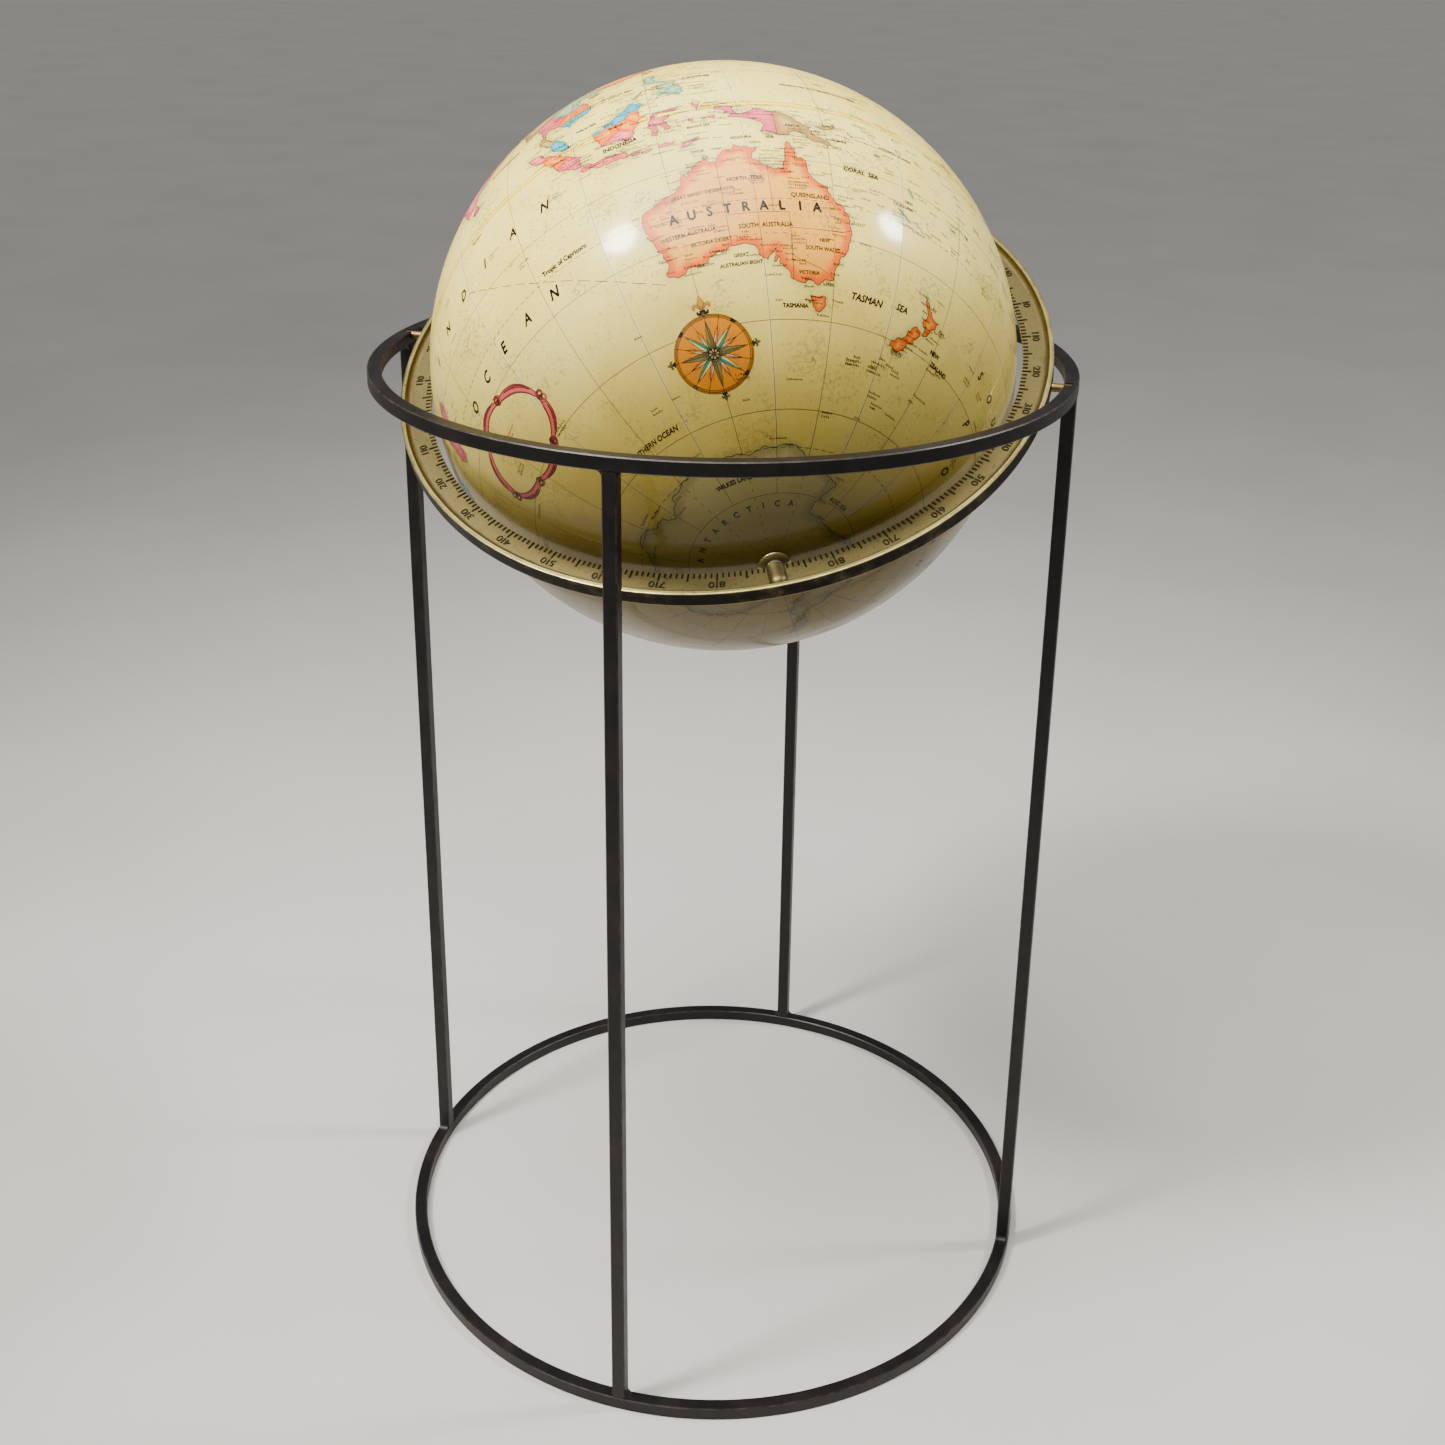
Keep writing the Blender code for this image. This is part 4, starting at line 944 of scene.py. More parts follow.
# The paper itself: a fine half sphere for each half of the ball, with columns crowded at the gore edges.
coast_tree = search_tree(np.concatenate([on_paper(lon, lat) for lon, lat in coasts]))
paper, tree, shader, place = new_material("offset_printed_paper_under_aged_varnish")
# Cream stock with a grey-green tint printed in the shallows, about 5 mm wide, and a pale painted highlight
# along each glued gore edge.
shore = add_node(tree, "ShaderNodeAttribute", attribute_name="shore")
ragged = add_node(tree, "ShaderNodeTexNoise", {"Vector": place, "Scale": 420.0, "Detail": 3.0})
wash = add_node(tree, "ShaderNodeMath", {0: ragged, 1: 5.0, 2: shore.outputs["Fac"]},
                operation="MULTIPLY_ADD")
shallow = add_node(tree, "ShaderNodeMapRange", {"Value": wash, "From Min": 2.6, "From Max": 6.6,
                                                "To Min": 0.7, "To Max": 0.0})
sea = add_node(tree, "ShaderNodeMix", {"Factor": shallow, "A": linear("#eedc80"), "B": linear("#b9bd7c")},
               data_type="RGBA")
seam = add_node(tree, "ShaderNodeAttribute", attribute_name="painted_seam_highlight")
edge = add_node(tree, "ShaderNodeMix", {
    "Factor": seam.outputs["Fac"], "A": sea.outputs[2], "B": linear("#f6efd2")}, data_type="RGBA")
aged_varnish(tree, shader, place, edge.outputs[2])
fine = [0.0, 0.1, 0.2, 0.35, 0.6]              # degrees from a glued edge
across = sorted(fine + [GORE - a for a in fine[1:]] + [i + 0.5 for i in range(1, int(GORE) - 1)])
lons = np.array([FIRST_SEAM + GORE * g + a for g in range(12) for a in across])
rows = np.append(np.arange(0, 88), math.degrees(math.acos(POLE_HOLE / PAPER_R)))
for word, sign in (("north", 1), ("south", -1)):
    grid_lon, grid_lat = np.meshgrid(lons, rows * sign)
    points = on_paper(grid_lon.ravel(), grid_lat.ravel())
    faces = between_rows(len(rows), len(lons))
    if sign < 0:
        faces = [f[::-1] for f in faces]
    # Painted highlight: a pale cream line along each glued edge, standing in for the sheen on the overlap
    # ridge.
    seam_sheen = np.exp(-(off_seam(grid_lon.ravel(), grid_lat.ravel()) / SEAM_HIGHLIGHT_HALF) ** 2) * 0.8
    near = [coast_tree.find(p)[2] * MM for p in points]
    skin = place_mesh("map_gores_" + word, points, faces, paper, None,
                      {"shore": near, "painted_seam_highlight": seam_sheen})
    skin.data.shade_smooth()
    skin.data.transform(ball_frame)
    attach(skin, "ball")
    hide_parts(word + "_map_gores")

# --- Printed tints ---------------------------------------------------------------------------------------
# The lands are flat offset tints, strongest along coasts and borders and paler inland, under the varnish.
TINT_LIFT = 0.00004
BAND = 6.5                                     # mm, from full strength to pale
SMALL_LAND = 7.0                               # mm, a land less deep than this is a small one
SEA_SCALE = 1.00006                            # an inland sea is printed over its land
COAST_REACH = 0.0012                           # an edge further than this from a coast is a border
tint_ink, tree, shader, place = new_material("offset_tint_under_aged_varnish")
edge_ink = add_node(tree, "ShaderNodeAttribute", attribute_name="edge_ink")
inner_ink = add_node(tree, "ShaderNodeAttribute", attribute_name="inner_ink")
shore = add_node(tree, "ShaderNodeAttribute", attribute_name="shore")
ragged = add_node(tree, "ShaderNodeTexNoise", {"Vector": place, "Scale": 260.0, "Detail": 3.0})
wash = add_node(tree, "ShaderNodeMath", {0: ragged, 1: 3.0, 2: shore.outputs["Fac"]},
                operation="MULTIPLY_ADD")
fade = add_node(tree, "ShaderNodeMapRange", {"Value": wash, "From Min": 3.0, "From Max": 2.2 + BAND},
                interpolation_type="SMOOTHSTEP")
ink = add_node(tree, "ShaderNodeMix", {"Factor": fade, "A": edge_ink.outputs["Color"],
                                       "B": inner_ink.outputs["Color"]}, data_type="RGBA")
aged_varnish(tree, shader, place, ink.outputs[2])


def split_by_states(mesh, states):
    """One mesh for each state: the land cut halfway between its place and every other state's place."""
    places = [Vector(on_paper(lon, lat)).normalized() for lon, lat, _ in states]
    for i, (_, _, tint) in enumerate(states):
        bm = bmesh.new()
        bm.from_mesh(mesh)
        for j, other in enumerate(places):
            if j != i:
                bmesh.ops.bisect_plane(bm, geom=bm.verts[:] + bm.edges[:] + bm.faces[:], dist=1e-7,
                                       plane_co=(0, 0, 0), plane_no=places[i] - other, clear_inner=True)
        if bm.faces:
            yield bm, tint
        else:
            bm.free()


def mark_print(mesh, marks):
    """Give a print its points' distances from its edge and their two ink colours."""
    mesh.attributes.new("shore", "FLOAT", "POINT").data.foreach_set("value", marks["shore"])
    for key in ("edge_ink", "inner_ink"):
        mesh.attributes.new(key, "FLOAT_COLOR", "POINT").data.foreach_set("color", marks[key])


borders = []
prints = bmesh.new()
marks = {key: [] for key in ("shore", "edge_ink", "inner_ink")}
for axes, flat, triangles, states in tints:
    mesh = bpy.data.meshes.new("land")
    mesh.from_pydata([tuple(p) for p in on_paper(*wrap_flat(axes, flat), TINT_LIFT)], [], triangles)
    cuts = split_by_states(mesh, states) if states else [(bmesh.new(), "sea")]
    for bm, tint in cuts:
        if tint == "sea":
            bm.from_mesh(mesh)
            bmesh.ops.scale(bm, vec=(SEA_SCALE,) * 3, verts=bm.verts)
        rim = [[v.co.copy() for v in e.verts] for e in bm.edges if e.is_boundary]
        rim_tree = search_tree([p for a, b in rim for p in (a, b, (a + b) / 2)])
        if tint != "sea":
            borders += [(a, b) for a, b in rim if coast_tree.find((a + b) / 2)[2] > COAST_REACH]
        edge_colour, inner_colour = (linear(c) for c in TINTS[tint])
        first = {v: prints.verts.new(v.co) for v in bm.verts}
        depths = [rim_tree.find(v.co)[2] * MM for v in bm.verts]
        paling = max(1.0, SMALL_LAND / max(max(depths), 1.0))     # a small land pales over a narrower band
        marks["shore"] += [d * paling for d in depths]
        marks["edge_ink"] += edge_colour * len(bm.verts)
        marks["inner_ink"] += inner_colour * len(bm.verts)
        for f in bm.faces:
            face = [first[v] for v in f.verts]
            prints.faces.new(face if f.normal.dot(f.verts[0].co) > 0 else face[::-1])
        bm.free()
lands = place_mesh("printed_lands", [], [], tint_ink)
prints.to_mesh(lands.data)
prints.free()
mark_print(lands.data, marks)
lands.data.shade_smooth()
lands.data.transform(ball_frame)
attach(lands, "ball")

# --- Printed lines ---------------------------------------------------------------------------------------
# Coasts, borders, the net of meridians and parallels every 15 degrees, the dashed tropics and circles, and
# a dashed sea route: thin ink lines, each a flat ribbon that follows the paper.
LINE_LIFT, NET_LIFT = 0.00006, 0.00005
NET_LINE, DASH_LINE, COAST_LINE = 0.00034, 0.00036, 0.00046      # widths


def print_ink(name, hex_colour, faint):
    """Line ink, faded unevenly and under the same varnish as the paper."""
    mat, tree, shader, place = new_material(name)
    worn_ink = add_node(tree, "ShaderNodeTexNoise", {"Vector": place, "Scale": 90.0, "Detail": 4.0})
    tone = add_node(tree, "ShaderNodeValToRGB", {"Fac": worn_ink},
                    stops=[(0.42, hex_colour), (0.78, faint)])
    aged_varnish(tree, shader, place, tone.outputs["Color"])
    return mat


line_tree, given, out = geometry_tree("ink_line", {"Width": "Float", "Material": "Material"})
half = add_node(line_tree, "ShaderNodeMath", {0: given.outputs["Width"], 1: 0.5}, operation="MULTIPLY")
other_half = add_node(line_tree, "ShaderNodeMath", {0: half, 1: -1.0}, operation="MULTIPLY")
left = add_node(line_tree, "ShaderNodeCombineXYZ", {1: other_half})
right_end = add_node(line_tree, "ShaderNodeCombineXYZ", {1: half})
nib = add_node(line_tree, "GeometryNodeCurvePrimitiveLine", {"Start": left, "End": right_end})
path = add_node(line_tree, "GeometryNodeMeshToCurve", {0: given.outputs["Geometry"]})
outward = add_node(line_tree, "GeometryNodeInputPosition")
lying = add_node(line_tree, "GeometryNodeSetCurveNormal", {0: path, "Normal": outward}, mode="FREE")
ribbon = add_node(line_tree, "GeometryNodeCurveToMesh", {0: lying, "Profile Curve": nib})
real = add_node(line_tree, "GeometryNodeRealizeInstances", {0: ribbon})
inked = add_node(line_tree, "GeometryNodeSetMaterial", {0: real, "Material": given.outputs["Material"]})
line_tree.links.new(inked.outputs[0], out.inputs[0])


def print_lines(name, lines, width, ink, lift=LINE_LIFT):
    """Print lines, each given as longitudes and latitudes; a closed one repeats its first point."""
    points, edges = [], []
    for lon, lat in lines:
        start = len(points)
        placed = on_paper(lon, lat, lift)
        closed = len(placed) > 3 and np.allclose(placed[0], placed[-1], atol=1e-6)
        placed = placed[:-1] if closed else placed
        points += [tuple(p) for p in placed]
        edges += [(start + i, start + i + 1) for i in range(len(placed) - 1)]
        if closed:
            edges.append((len(points) - 1, start))
    item = place_mesh(name, [], [], ink)
    item.data.from_pydata(points, edges, [])
    run_tree(item, line_tree, {"Width": width, "Material": ink})
    item.data.transform(ball_frame)
    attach(item, "ball")


def dashed(lon, lat, dash, gap):
    """Break a line into dashes, in millimetres along it."""
    steps = np.linalg.norm(np.diff(on_paper(lon, lat), axis=0), axis=1) * MM
    far = np.append(0, np.cumsum(steps))
    for start in np.arange(0, far[-1] - dash, dash + gap):
        at = np.linspace(start, start + dash, max(3, int(dash / 2.5)))
        yield np.interp(at, far, lon), np.interp(at, far, lat)


net_ink = print_ink("faded_olive_line_ink", "#554d30", "#857b52")
coast_ink = print_ink("brown_black_line_ink", "#2a1e12", "#46381f")
net = []
for lon in range(0, 360, 15):
    reach = 87.6 if lon % 30 == 0 else 75.0           # every other one stops at the last parallel
    lats = np.linspace(-reach, reach, 101)
    net.append((np.full_like(lats, lon), lats))
around = np.linspace(0, 360, 181)
net += [(around, np.full_like(around, lat)) for lat in range(-75, 90, 15) if lat]
print_lines("printed_meridians_and_parallels", net, NET_LINE, net_ink, NET_LIFT)
dashes = []
for lat in (-66.56, -23.44, 23.44, 66.56):
    dashes += dashed(around, np.full_like(around, lat), 3.2, 2.0)
route = np.array([(74.7, -10.8), (82.2, -16.9), (90.5, -22.9), (101.8, -29.7), (108.4, -33.1),
                  (116.5, -36.5)])
dashes += dashed(route[:, 0], route[:, 1], 8.5, 3.6)
print_lines("printed_tropics_and_route", dashes, DASH_LINE, coast_ink)
print_lines("printed_coasts", [(np.append(lon, lon[0]), np.append(lat, lat[0])) for lon, lat in coasts],
            COAST_LINE, coast_ink)
# The straight state borders of Australia, as the places where each turns.
state_lines = [
    [(129, -14.9), (129, -31.6)], [(138, -16.6), (138, -26)], [(129, -26), (141, -26)],
    [(141, -26), (141, -38.1)], [(141, -29), (149, -29), (151.5, -28.9), (153.5, -28.2)],
    [(141, -34), (143, -34.8), (147, -36.0), (149.9, -37.5)],
]
drawn = []
for corners in state_lines:
    for (lon1, lat1), (lon2, lat2) in zip(corners, corners[1:]):
        drawn.append((np.linspace(lon1, lon2, 12), np.linspace(lat1, lat2, 12)))
for a, b in borders:
    pair = np.array([a, b])
    drawn.append((np.degrees(np.arctan2(pair[:, 1], pair[:, 0])),
                  np.degrees(np.arcsin(pair[:, 2] / np.linalg.norm(pair, axis=1)))))
print_lines("printed_borders", drawn, NET_LINE, coast_ink)

# --- Lettering -------------------------------------------------------------------------------------------
# Plain names of oceans, seas and lands, set along the parallels with wide spacing, and fine place names
# that are only suggested by rows of tiny strokes.
TEXT_LIFT, FINE_LIFT, FINE_LINE = 0.00009, 0.00008, 0.00026
CAPITAL = 0.73                       # height of the font's capitals at size 1
LETTER_SQUEEZE, COPY_LIFT = 0.86, 0.000002
WEIGHT, BOLD = 0.09, 0.13            # how far the copies of a letter are set apart, in letter heights
text_ink = print_ink("black_letterpress_ink", "#0e0b08", "#221a12")
GLYPHS = {}


def glyph(text, slant):
    """A word's flat letters one unit high, as points, faces and width."""
    if (text, slant) not in GLYPHS:
        mesh = set_type(text, resolution_u=2, shear=slant)
        co = np.array([v.co[:2] for v in mesh.vertices]) / CAPITAL
        GLYPHS[text, slant] = co, [tuple(f.vertices) for f in mesh.polygons], co[:, 0].max()
    return GLYPHS[text, slant]


def word_on_ball(text, lon, lat, height, spread=None, slant=0.0, weight=WEIGHT):
    """Print a word, its capitals height mm high: centred at a place, or a letter every spread degrees."""
    pieces = [(text, lon)] if spread is None else [
        (letter, lon + i * spread) for i, letter in enumerate(text) if letter != " "]
    per_degree, h = math.radians(1) * PAPER_R * MM, weight / 2
    for letters, at in pieces:
        co, faces, width = glyph(letters, slant)
        for copy, (dx, dy) in enumerate(((0, 0), (h, 0), (-h, 0), (0, h), (0, -h))):
            lats = lat + (co[:, 1] + dy) * height / per_degree
            x = (co[:, 0] + dx - width / 2) * height * LETTER_SQUEEZE
            lons = at + x / (per_degree * math.cos(math.radians(lat)))
            start = len(letter_points)
            letter_points.extend(tuple(p) for p in on_paper(lons, lats, TEXT_LIFT + copy * COPY_LIFT))
            letter_faces.extend(tuple(start + i for i in f) for f in faces)


letter_points, letter_faces = [], []
# Each word with its longitude, latitude and height, and then its letters' spread, slant and weight.
for words in (
    ("AUSTRALIA", 119.2, -25.6, 6.6, 3.42, 0.0, BOLD), ("NORTH  TERR", 133.6, -19.4, 2.9),
    ("QUEENSLAND", 145.4, -23.0, 3.2), ("SOUTH  AUSTRALIA", 136.2, -28.8, 3.1),
    ("WESTERN AUSTRALIA", 121.2, -28.4, 2.9), ("GREAT SANDY DESERT", 124.4, -21.2, 2.6),
    ("VICTORIA DESERT", 125.2, -30.6, 2.6), ("VICTORIA", 144.4, -37.2, 2.4), ("NEW", 147.8, -31.2, 2.4),
    ("SOUTH WALES", 147.4, -32.8, 2.7), ("TASMANIA", 141.2, -43.0, 2.7, None, 0.0, BOLD),
    ("GREAT", 130.5, -33.8, 2.4, None, 0.2), ("AUSTRALIAN BIGHT", 130.3, -35.3, 2.4, None, 0.2),
    ("CORAL  SEA", 156.0, -15.8, 3.8, None, 0.25), ("TASMAN", 158.2, -40.4, 4.6, None, 0.25),
    ("SEA", 167.4, -39.6, 4.4, None, 0.25), ("ARAFURA", 134.3, -10.0, 2.6, None, 0.25),
    ("SEA", 139.4, -9.9, 2.6, None, 0.25), ("TIMOR", 126.2, -12.2, 2.4, None, 0.25),
    ("SEA", 127.3, -13.8, 2.4, None, 0.25), ("INDONESIA", 113.4, -5.2, 3.6, None, 0.0, BOLD),
    ("BANDA SEA", 127.5, -5.8, 2.3, None, 0.25), ("PAPUA", 144.2, -6.7, 2.6), ("NEW", 148.4, -7.6, 2.3),
    ("GUINEA", 152.6, -9.0, 2.4), ("NEW", 166.4, -18.4, 2.3), ("CALEDONIA", 165.0, -19.8, 2.3),
    ("Tropic of Capricorn", 97.0, -22.7, 3.5, None, 0.0, BOLD), ("Equator", 80.5, -2.2, 2.6),
    ("INDIAN", 57.0, -10.5, 7.6, 8.0, 0.3), ("OCEAN", 60.4, -27.5, 7.6, 8.0, 0.3),
    ("SOUTH", -162, -38.6, 7, 7.6, 0.3), ("PACIFIC", -157, -47.0, 7, 8.6, 0.3),
    ("OCEAN", -150, -55.0, 7, 10.0, 0.3), ("NORTH", -178, 24.0, 7, 7.0, 0.3),
    ("PACIFIC", -179, 15.0, 7, 7.0, 0.3), ("OCEAN", -174, 33.0, 7, 7.0, 0.3),
    ("NORTH", -58, 32.0, 6, 4.6, 0.3), ("ATLANTIC", -60, 24.0, 6, 4.6, 0.3),
    ("OCEAN", -50, 16.0, 6, 4.6, 0.3), ("SOUTH", -30, -20.0, 6, 4.6, 0.3),
    ("ATLANTIC", -30, -28.0, 6, 4.6, 0.3), ("OCEAN", -22, -36.0, 6, 5.0, 0.3),
    ("ANTARCTICA", 48, -77.5, 4.2, 10.9), ("WILKES LAND", 112, -71.4, 3.1, None, 0.0, BOLD),
    ("ROSS SEA", 180, -74.6, 2.9, None, 0.25), ("AFRICA", 2, 16.0, 6.6, 6.4, 0.0, BOLD),
    ("EUROPE", 8, 50.5, 5, 6.0, 0.0, BOLD), ("ASIA", 78, 50.0, 7, 12.0, 0.0, BOLD),
    ("CHINA", 92, 33.0, 5, 5.4, 0.0, BOLD), ("INDIA", 78.5, 22.0, 4.4, None, 0.0, BOLD),
    ("NORTH AMERICA", -124, 51.0, 5.6, 4.8, 0.0, BOLD), ("SOUTH", -68, -6.0, 5.6, 4.4, 0.0, BOLD),
    ("AMERICA", -71, -14.0, 5.6, 4.4, 0.0, BOLD), ("PHILIPPINES", 129.6, 12.4, 2.9, None, 0.0, BOLD),
    ("SOUTH CHINA SEA", 113.3, 13.0, 2.8, None, 0.25), ("BORNEO", 113.8, 0.6, 2.6),
    ("SUMATRA", 101.6, -1.4, 2.2), ("BAY OF BENGAL", 89, 13.0, 3.1, None, 0.25),
    ("ARABIAN SEA", 63, 15.0, 3.3, None, 0.25), ("MALAYSIA", 108.0, 4.6, 2.6, None, 0.0, BOLD),
    ("NEW", 180.5, -43.4, 3.1, None, 0.0, BOLD), ("ZEALAND", 183.5, -45.2, 3.1, None, 0.0, BOLD),
    ("FEDERATED STATES OF MICRONESIA", 152, 7.6, 2.7), ("SOLOMON ISLANDS", 164.4, -7.4, 2.4),
    ("FIJI", 182.2, -17.0, 2.6), ("SOUTHERN OCEAN", 92, -58.5, 3.6, None, 0.25),
):
    word_on_ball(*words)
letters = place_mesh("printed_names", letter_points, letter_faces, text_ink)
letters.data.transform(ball_frame)
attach(letters, "ball")


def fine_name(rng, lon, lat, count, height):
    """A row of tiny strokes the size of letters: stems, with bars and slants between them."""
    per_degree = math.radians(1) * PAPER_R * MM
    wide = per_degree * max(0.2, math.cos(math.radians(lat)))
    pitch = height * 0.95
    for i in range(count):
        x, tall = i * pitch, height * (1.25 if i == 0 else rng.choice((0.8, 0.8, 0.8, 1.2)))
        for (x1, y1), (x2, y2) in rng.sample([
                ((0, 0), (0, tall)), ((0, tall), (0.45 * pitch, 0)),
                ((0.5 * pitch, 0), (0.5 * pitch, tall * 0.8)),
                ((0, tall * 0.5), (0.5 * pitch, tall * 0.5)), ((0, 0), (0.5 * pitch, 0))], 3):
            yield (np.array([lon + (x + x1) / wide, lon + (x + x2) / wide]),
                   np.array([lat + y1 / per_degree, lat + y2 / per_degree]))


rng = random.Random(7)
strokes = []
# Names crowd along the coasts of the islands and of Australia, thin out on other coasts, and dot the seas.
CROWDED = (
    "australia", "tasmania", "north_island", "south_island", "new_guinea", "borneo", "sumatra", "java",
    "sulawesi", "flores", "timor", "halmahera", "seram", "new_britain", "guadalcanal", "new_caledonia",
    "vanuatu", "fiji", "mindanao", "luzon", "visayas", "palawan", "bali", "buru", "bougainville",
)
for (name, _), (lon, lat) in zip(LANDS.items(), coasts):
    spacing = 7 if name in CROWDED else 16
    for i in range(rng.randrange(spacing), len(lon), spacing):
        reach = rng.uniform(-2.4, 2.4)
        strokes += fine_name(rng, lon[i] + reach, lat[i] + rng.uniform(-1.6, 1.6), rng.randint(4, 9),
                             rng.uniform(1.1, 1.45))
for lon_range, lat_range, number in (
    ((114, 152), (-33, -14), 60), ((150, 215), (-24, 12), 130), ((95, 135), (-10, 20), 60),
    ((20, 340), (-62, -35), 40), ((0, 360), (-20, 60), 150), ((150, 185), (-60, -42), 18),
):
    for _ in range(number):
        lon, lat = rng.uniform(*lon_range), rng.uniform(*lat_range)
        for line in range(rng.choice((1, 1, 2))):
            strokes += fine_name(rng, lon, lat - 0.7 * line, rng.randint(4, 9), rng.uniform(1.1, 1.45))
print_lines("printed_fine_names", strokes, FINE_LINE, text_ink, FINE_LIFT)

# --- Compass rose and cartouche --------------------------------------------------------------------------
# Two printed ornaments on the southern ocean: a sixteen-point rose on an orange disc with a small lily at
# each quarter, and an empty scrolled frame in red. Both are plain designs of their kind.
ORNAMENT_LIFT, LAYER = 0.00005, 0.000006
INLAND = 9.0                         # mm from an edge, where a tint has faded to its inner colour
COLOURS = {
    "amber": ("#d47a00", "#e29200"), "rim": ("#b97a1c", "#b97a1c"), "olive": ("#4d4a2c", "#6f6c48"),
    "olive_light": ("#84805a", "#84805a"), "teal": ("#0c8f8c", "#1f9f9b"), "cream": ("#f6e3b4", "#f6e3b4"),
    "pink": ("#d8655f", "#e48579"), "rust": ("#a84f14", "#a84f14"), "gold": ("#a97a1c", "#c49532"),
    "black": ("#2c2415", "#2c2415"), "red": ("#7d1e30", "#e2606c"), "red_dark": ("#6a1a2a", "#96303f"),
}
picture = {"points": [], "faces": [], "shore": [], "edge_ink": [], "inner_ink": []}
picture_lines = []


def lay(axes, flat, faces, colour, layer, shore):
    """Add flat faces in millimetres to the picture, in one colour, facing outwards."""
    start = len(picture["points"])
    picture["points"] += [tuple(p) for p in on_paper(*wrap_flat(axes, flat), ORNAMENT_LIFT + layer * LAYER)]
    for f in faces:
        (x1, y1), (x2, y2), (x3, y3) = (flat[i] for i in f[:3])
        turns_left = (x2 - x1) * (y3 - y1) - (x3 - x1) * (y2 - y1) > 0
        picture["faces"].append(tuple(start + i for i in (f if turns_left else f[::-1])))
    picture["shore"] += list(shore)
    for key, tone in zip(("edge_ink", "inner_ink"), COLOURS[colour]):
        picture[key] += linear(tone) * len(flat)


def patch(axes, outline, colour, layer, lined=True):
    """A filled shape with straight sides, cut fine enough to follow the ball."""
    sides = []
    for a, b in zip(outline, outline[1:] + outline[:1]):
        count = max(1, round(math.dist(a, b) / 3))
        sides += [(a[0] + (b[0] - a[0]) * i / count, a[1] + (b[1] - a[1]) * i / count)
                  for i in range(count)]
    flat, faces = filled(sides, 3.0)
    lay(axes, flat, faces, colour, layer, [INLAND] * len(flat))
    if lined:
        picture_lines.append(wrap_flat(axes, sides + sides[:1]))


def brush(axes, line, widths, colour, layer):
    """A brush stroke along a line, shaded dark at both edges, with its own ink outline."""
    line, widths = np.array(line, float), np.array(widths, float)
    along = np.gradient(line, axis=0)
    along /= np.maximum(np.hypot(along[:, 0], along[:, 1]), 1e-9)[:, None]
    side = np.stack([-along[:, 1], along[:, 0]], axis=-1)
    flat = np.concatenate([line + side * (widths * k)[:, None] for k in (-1, -0.35, 0.35, 1)])
    n = len(line)
    shade = [0.0] * n + [INLAND] * 2 * n + [0.0] * n
    lay(axes, flat, between_rows(4, n, closed=False), colour, layer, shade)
    picture_lines.append(wrap_flat(axes, np.concatenate([flat[:n], flat[3 * n:][::-1], flat[:1]])))


def circle(radius, count=72):
    """Points around a circle."""
    return [(radius * math.cos(2 * math.pi * i / count), radius * math.sin(2 * math.pi * i / count))
            for i in range(count)]


def aim(angle, radius):
    """A point of the rose: clockwise degrees from north, and millimetres from the middle."""
    return radius * math.sin(math.radians(angle)), radius * math.cos(math.radians(angle))


rose = plane_at(120.0, -49.0)
DISC, RIM_OUT = 21.6, 23.6
patch(rose, circle(RIM_OUT), "rim", 0)
patch(rose, circle(DISC), "amber", 1)
picture_lines.append(wrap_flat(rose, circle(RIM_OUT - 0.9) + circle(RIM_OUT - 0.9)[:1]))
for i in range(32):
    a = 11.25 * i + 5.6
    patch(rose, [aim(a, 16.5), aim(a + 1.6, 11.0), aim(a - 1.6, 11.0)], "rust", 2, False)
for count, first, tip, waist, spread, dark, light, layer in (
    (8, 22.5, 18.0, 6.2, 12.0, "pink", "cream", 3), (4, 45.0, 20.4, 6.6, 17.0, "teal", "cream", 4),
    (4, 0.0, 21.2, 6.0, 24.0, "olive", "olive_light", 5),
):
    for i in range(count):
        a = first + i * 360 / count
        patch(rose, [(0, 0), aim(a, tip), aim(a + spread, waist)], dark, layer)
        patch(rose, [(0, 0), aim(a - spread, waist), aim(a, tip)], light, layer)
        picture_lines.append(wrap_flat(rose, [aim(a, tip), aim(a, RIM_OUT)]))
        if dark == "teal":
            patch(rose, [aim(a - 4, DISC), aim(a - 4, RIM_OUT), aim(a + 4, RIM_OUT), aim(a + 4, DISC)],
                  "black", layer)
patch(rose, circle(4.7, 40), "olive_light", 6)
patch(rose, circle(3.6, 32), "black", 7)
for i in range(8):
    a = 45.0 * i
    patch(rose, [aim(a, 0.8), aim(a - 16, 2.5), aim(a, 3.4), aim(a + 16, 2.5)], "cream", 8, False)
patch(rose, circle(0.8, 12), "cream", 8, False)
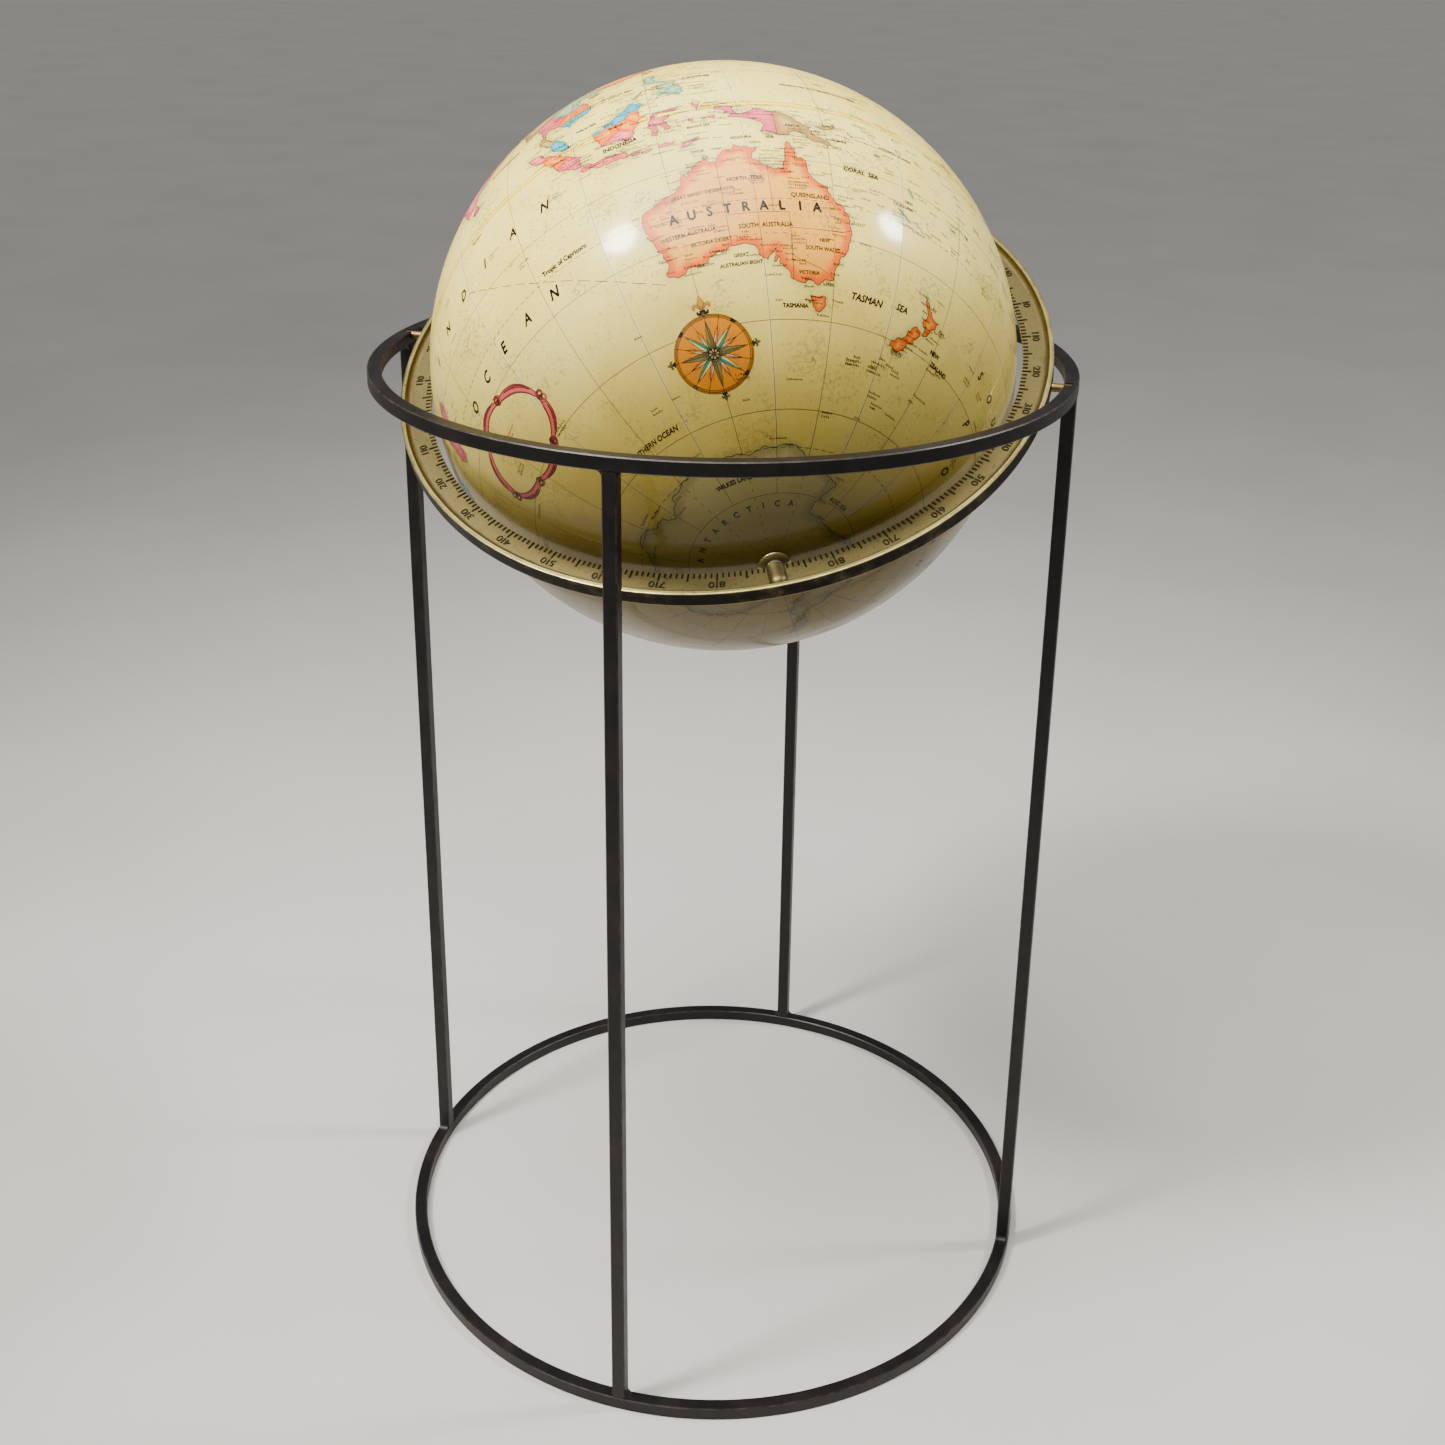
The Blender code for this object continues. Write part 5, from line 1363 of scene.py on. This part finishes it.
for a, k, leaf in ((0, 1.0, "gold"), (90, 0.42, "olive"), (180, 0.42, "olive"), (270, 0.42, "olive")):

    def lily(x, y):
        """A point of a lily that stands on the rim in direction a, k times full size."""
        (ex, ey), (nx, ny) = aim(a + 90, 1), aim(a, 1)
        return ex * x * k + nx * (RIM_OUT + y * k), ey * x * k + ny * (RIM_OUT + y * k)

    patch(rose, [lily(*p) for p in ((0, 12.4), (1.2, 9.8), (2.0, 7.6), (1.3, 5.2), (0.4, 2.8), (-0.4, 2.8),
                                    (-1.3, 5.2), (-2.0, 7.6), (-1.2, 9.8))], leaf, 9)
    for side in (1, -1):
        arm = [lily(side * x, y) for x, y in ((0.5, 2.6), (1.3, 4.6), (2.6, 6.2), (4.2, 6.6), (5.1, 5.6),
                                              (4.9, 4.5), (4.2, 4.4))]
        brush(rose, arm, [k * w for w in (0.45, 0.6, 0.8, 0.85, 0.7, 0.5, 0.35)], leaf, 9)
        foot = [lily(side * x, y) for x, y in ((0.3, 1.8), (1.6, 1.0), (3.0, 1.2), (3.4, 2.2), (2.7, 2.5))]
        brush(rose, foot, [k * w for w in (0.6, 0.75, 0.7, 0.5, 0.35)], "black", 9)
    patch(rose, [lily(*p) for p in ((-1.7, 2.0), (1.7, 2.0), (1.7, 2.9), (-1.7, 2.9))], "black", 10)
    patch(rose, [lily(*p) for p in ((-0.9, -0.6), (0.9, -0.6), (0.7, 2.0), (-0.7, 2.0))], "olive", 10)

SCROLL_STEPS, CURL_STEPS, BULGE = 24, 20, 0.20
frame_axes = plane_at(60.5, -38.3)
# The frame's six knots; a C-scroll swells outwards from each to the next.
knots = [tuple(p) for p in draw_flat(frame_axes, (
    (66.7, -31.4), (76.2, -38.4), (70.0, -44.6), (57.5, -45.0), (48.8, -40.6), (56.0, -32.2)))]
for a, b in zip(knots, knots[1:] + knots[:1]):
    chord = Vector(b) - Vector(a)
    out = Vector((chord.y, -chord.x)).normalized()
    out = out if out.dot(Vector(a) + Vector(b)) > 0 else -out
    steps = [i / SCROLL_STEPS for i in range(SCROLL_STEPS + 1)]
    body = [Vector(a) + chord * t + out * (BULGE * chord.length * 4 * t * (1 - t)) for t in steps]
    brush(frame_axes, body, [0.8 + 2.1 * math.sin(math.pi * t ** 0.75) ** 0.8 for t in steps], "red", 2)
    spine = [p + out * 1.1 for p in body[4:20]]
    brush(frame_axes, spine, [0.15 + 0.55 * math.sin(math.pi * i / 15) for i in range(16)], "red_dark", 3)
    away = math.atan2(out.y, out.x)
    for end, side in ((a, -1), (b, 1)):
        cx, cy = end[0] + out.x * 2.2 + chord.normalized().x * side * 0.6, end[1] + out.y * 2.2
        curl, widths = [], []
        for i in range(CURL_STEPS + 1):
            radius, a_curl = 3.1 - 2.3 * i / CURL_STEPS, away + side * (3.0 - 0.33 * i)
            curl.append((cx + radius * math.cos(a_curl), cy + radius * math.sin(a_curl)))
            widths.append(0.95 - 0.6 * i / CURL_STEPS)
        brush(frame_axes, curl, widths, "red_dark" if side > 0 else "red", 4)
    patch(frame_axes, [(a[0] + px * 1.7, a[1] + py * 1.7) for px, py in circle(1.0, 12)], "red_dark", 5)

ornament = place_mesh("printed_rose_and_cartouche", picture["points"], picture["faces"], tint_ink)
mark_print(ornament.data, picture)
ornament.data.transform(ball_frame)
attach(ornament, "ball")
print_lines("printed_ornament_lines", picture_lines, FINE_LINE, text_ink, ORNAMENT_LIFT + 12 * LAYER)

# --- Equator tape ----------------------------------------------------------------------------------------
# A narrow printed paper tape glued over the joint of the two halves: a yellow stripe on each side of a
# cream middle line, with cream edges, under the same varnish as the map.
TAPE_HALF, TAPE_LIFT, TAPE_STEPS = 0.0029, 0.00003, 360
tape, tree, shader, place = new_material("printed_tape_under_aged_varnish")
side_way = add_node(tree, "ShaderNodeAttribute", attribute_name="across")
stripes = add_node(tree, "ShaderNodeValToRGB", {"Fac": side_way}, stops=[
    (0.0, "#efdf96"), (0.06, "#e2c200"), (0.38, "#e8cc20"), (0.44, "#f3e3a4"), (0.56, "#f3e3a4"),
    (0.62, "#e8cc20"), (0.94, "#e2c200"), (1.0, "#efdf96")])
aged_varnish(tree, shader, place, stripes.outputs["Color"])
bands = np.linspace(-TAPE_HALF, TAPE_HALF, 9)
points, across_values = [], []
for lon in range(TAPE_STEPS):
    for b in bands:
        points.append(tuple(on_paper(lon, math.degrees(b / PAPER_R), TAPE_LIFT)))
        across_values.append(b / TAPE_HALF / 2 + 0.5)
n = len(bands)
faces = [(i * n + j, (i + 1) % TAPE_STEPS * n + j, (i + 1) % TAPE_STEPS * n + j + 1, i * n + j + 1)
         for i in range(TAPE_STEPS) for j in range(n - 1)]
tape_piece = place_mesh("equator_tape_printed", points, faces, tape, None, {"across": across_values})
tape_piece.data.shade_smooth()
tape_piece.data.transform(ball_frame)
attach(tape_piece, "ball")
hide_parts("equator_tape")
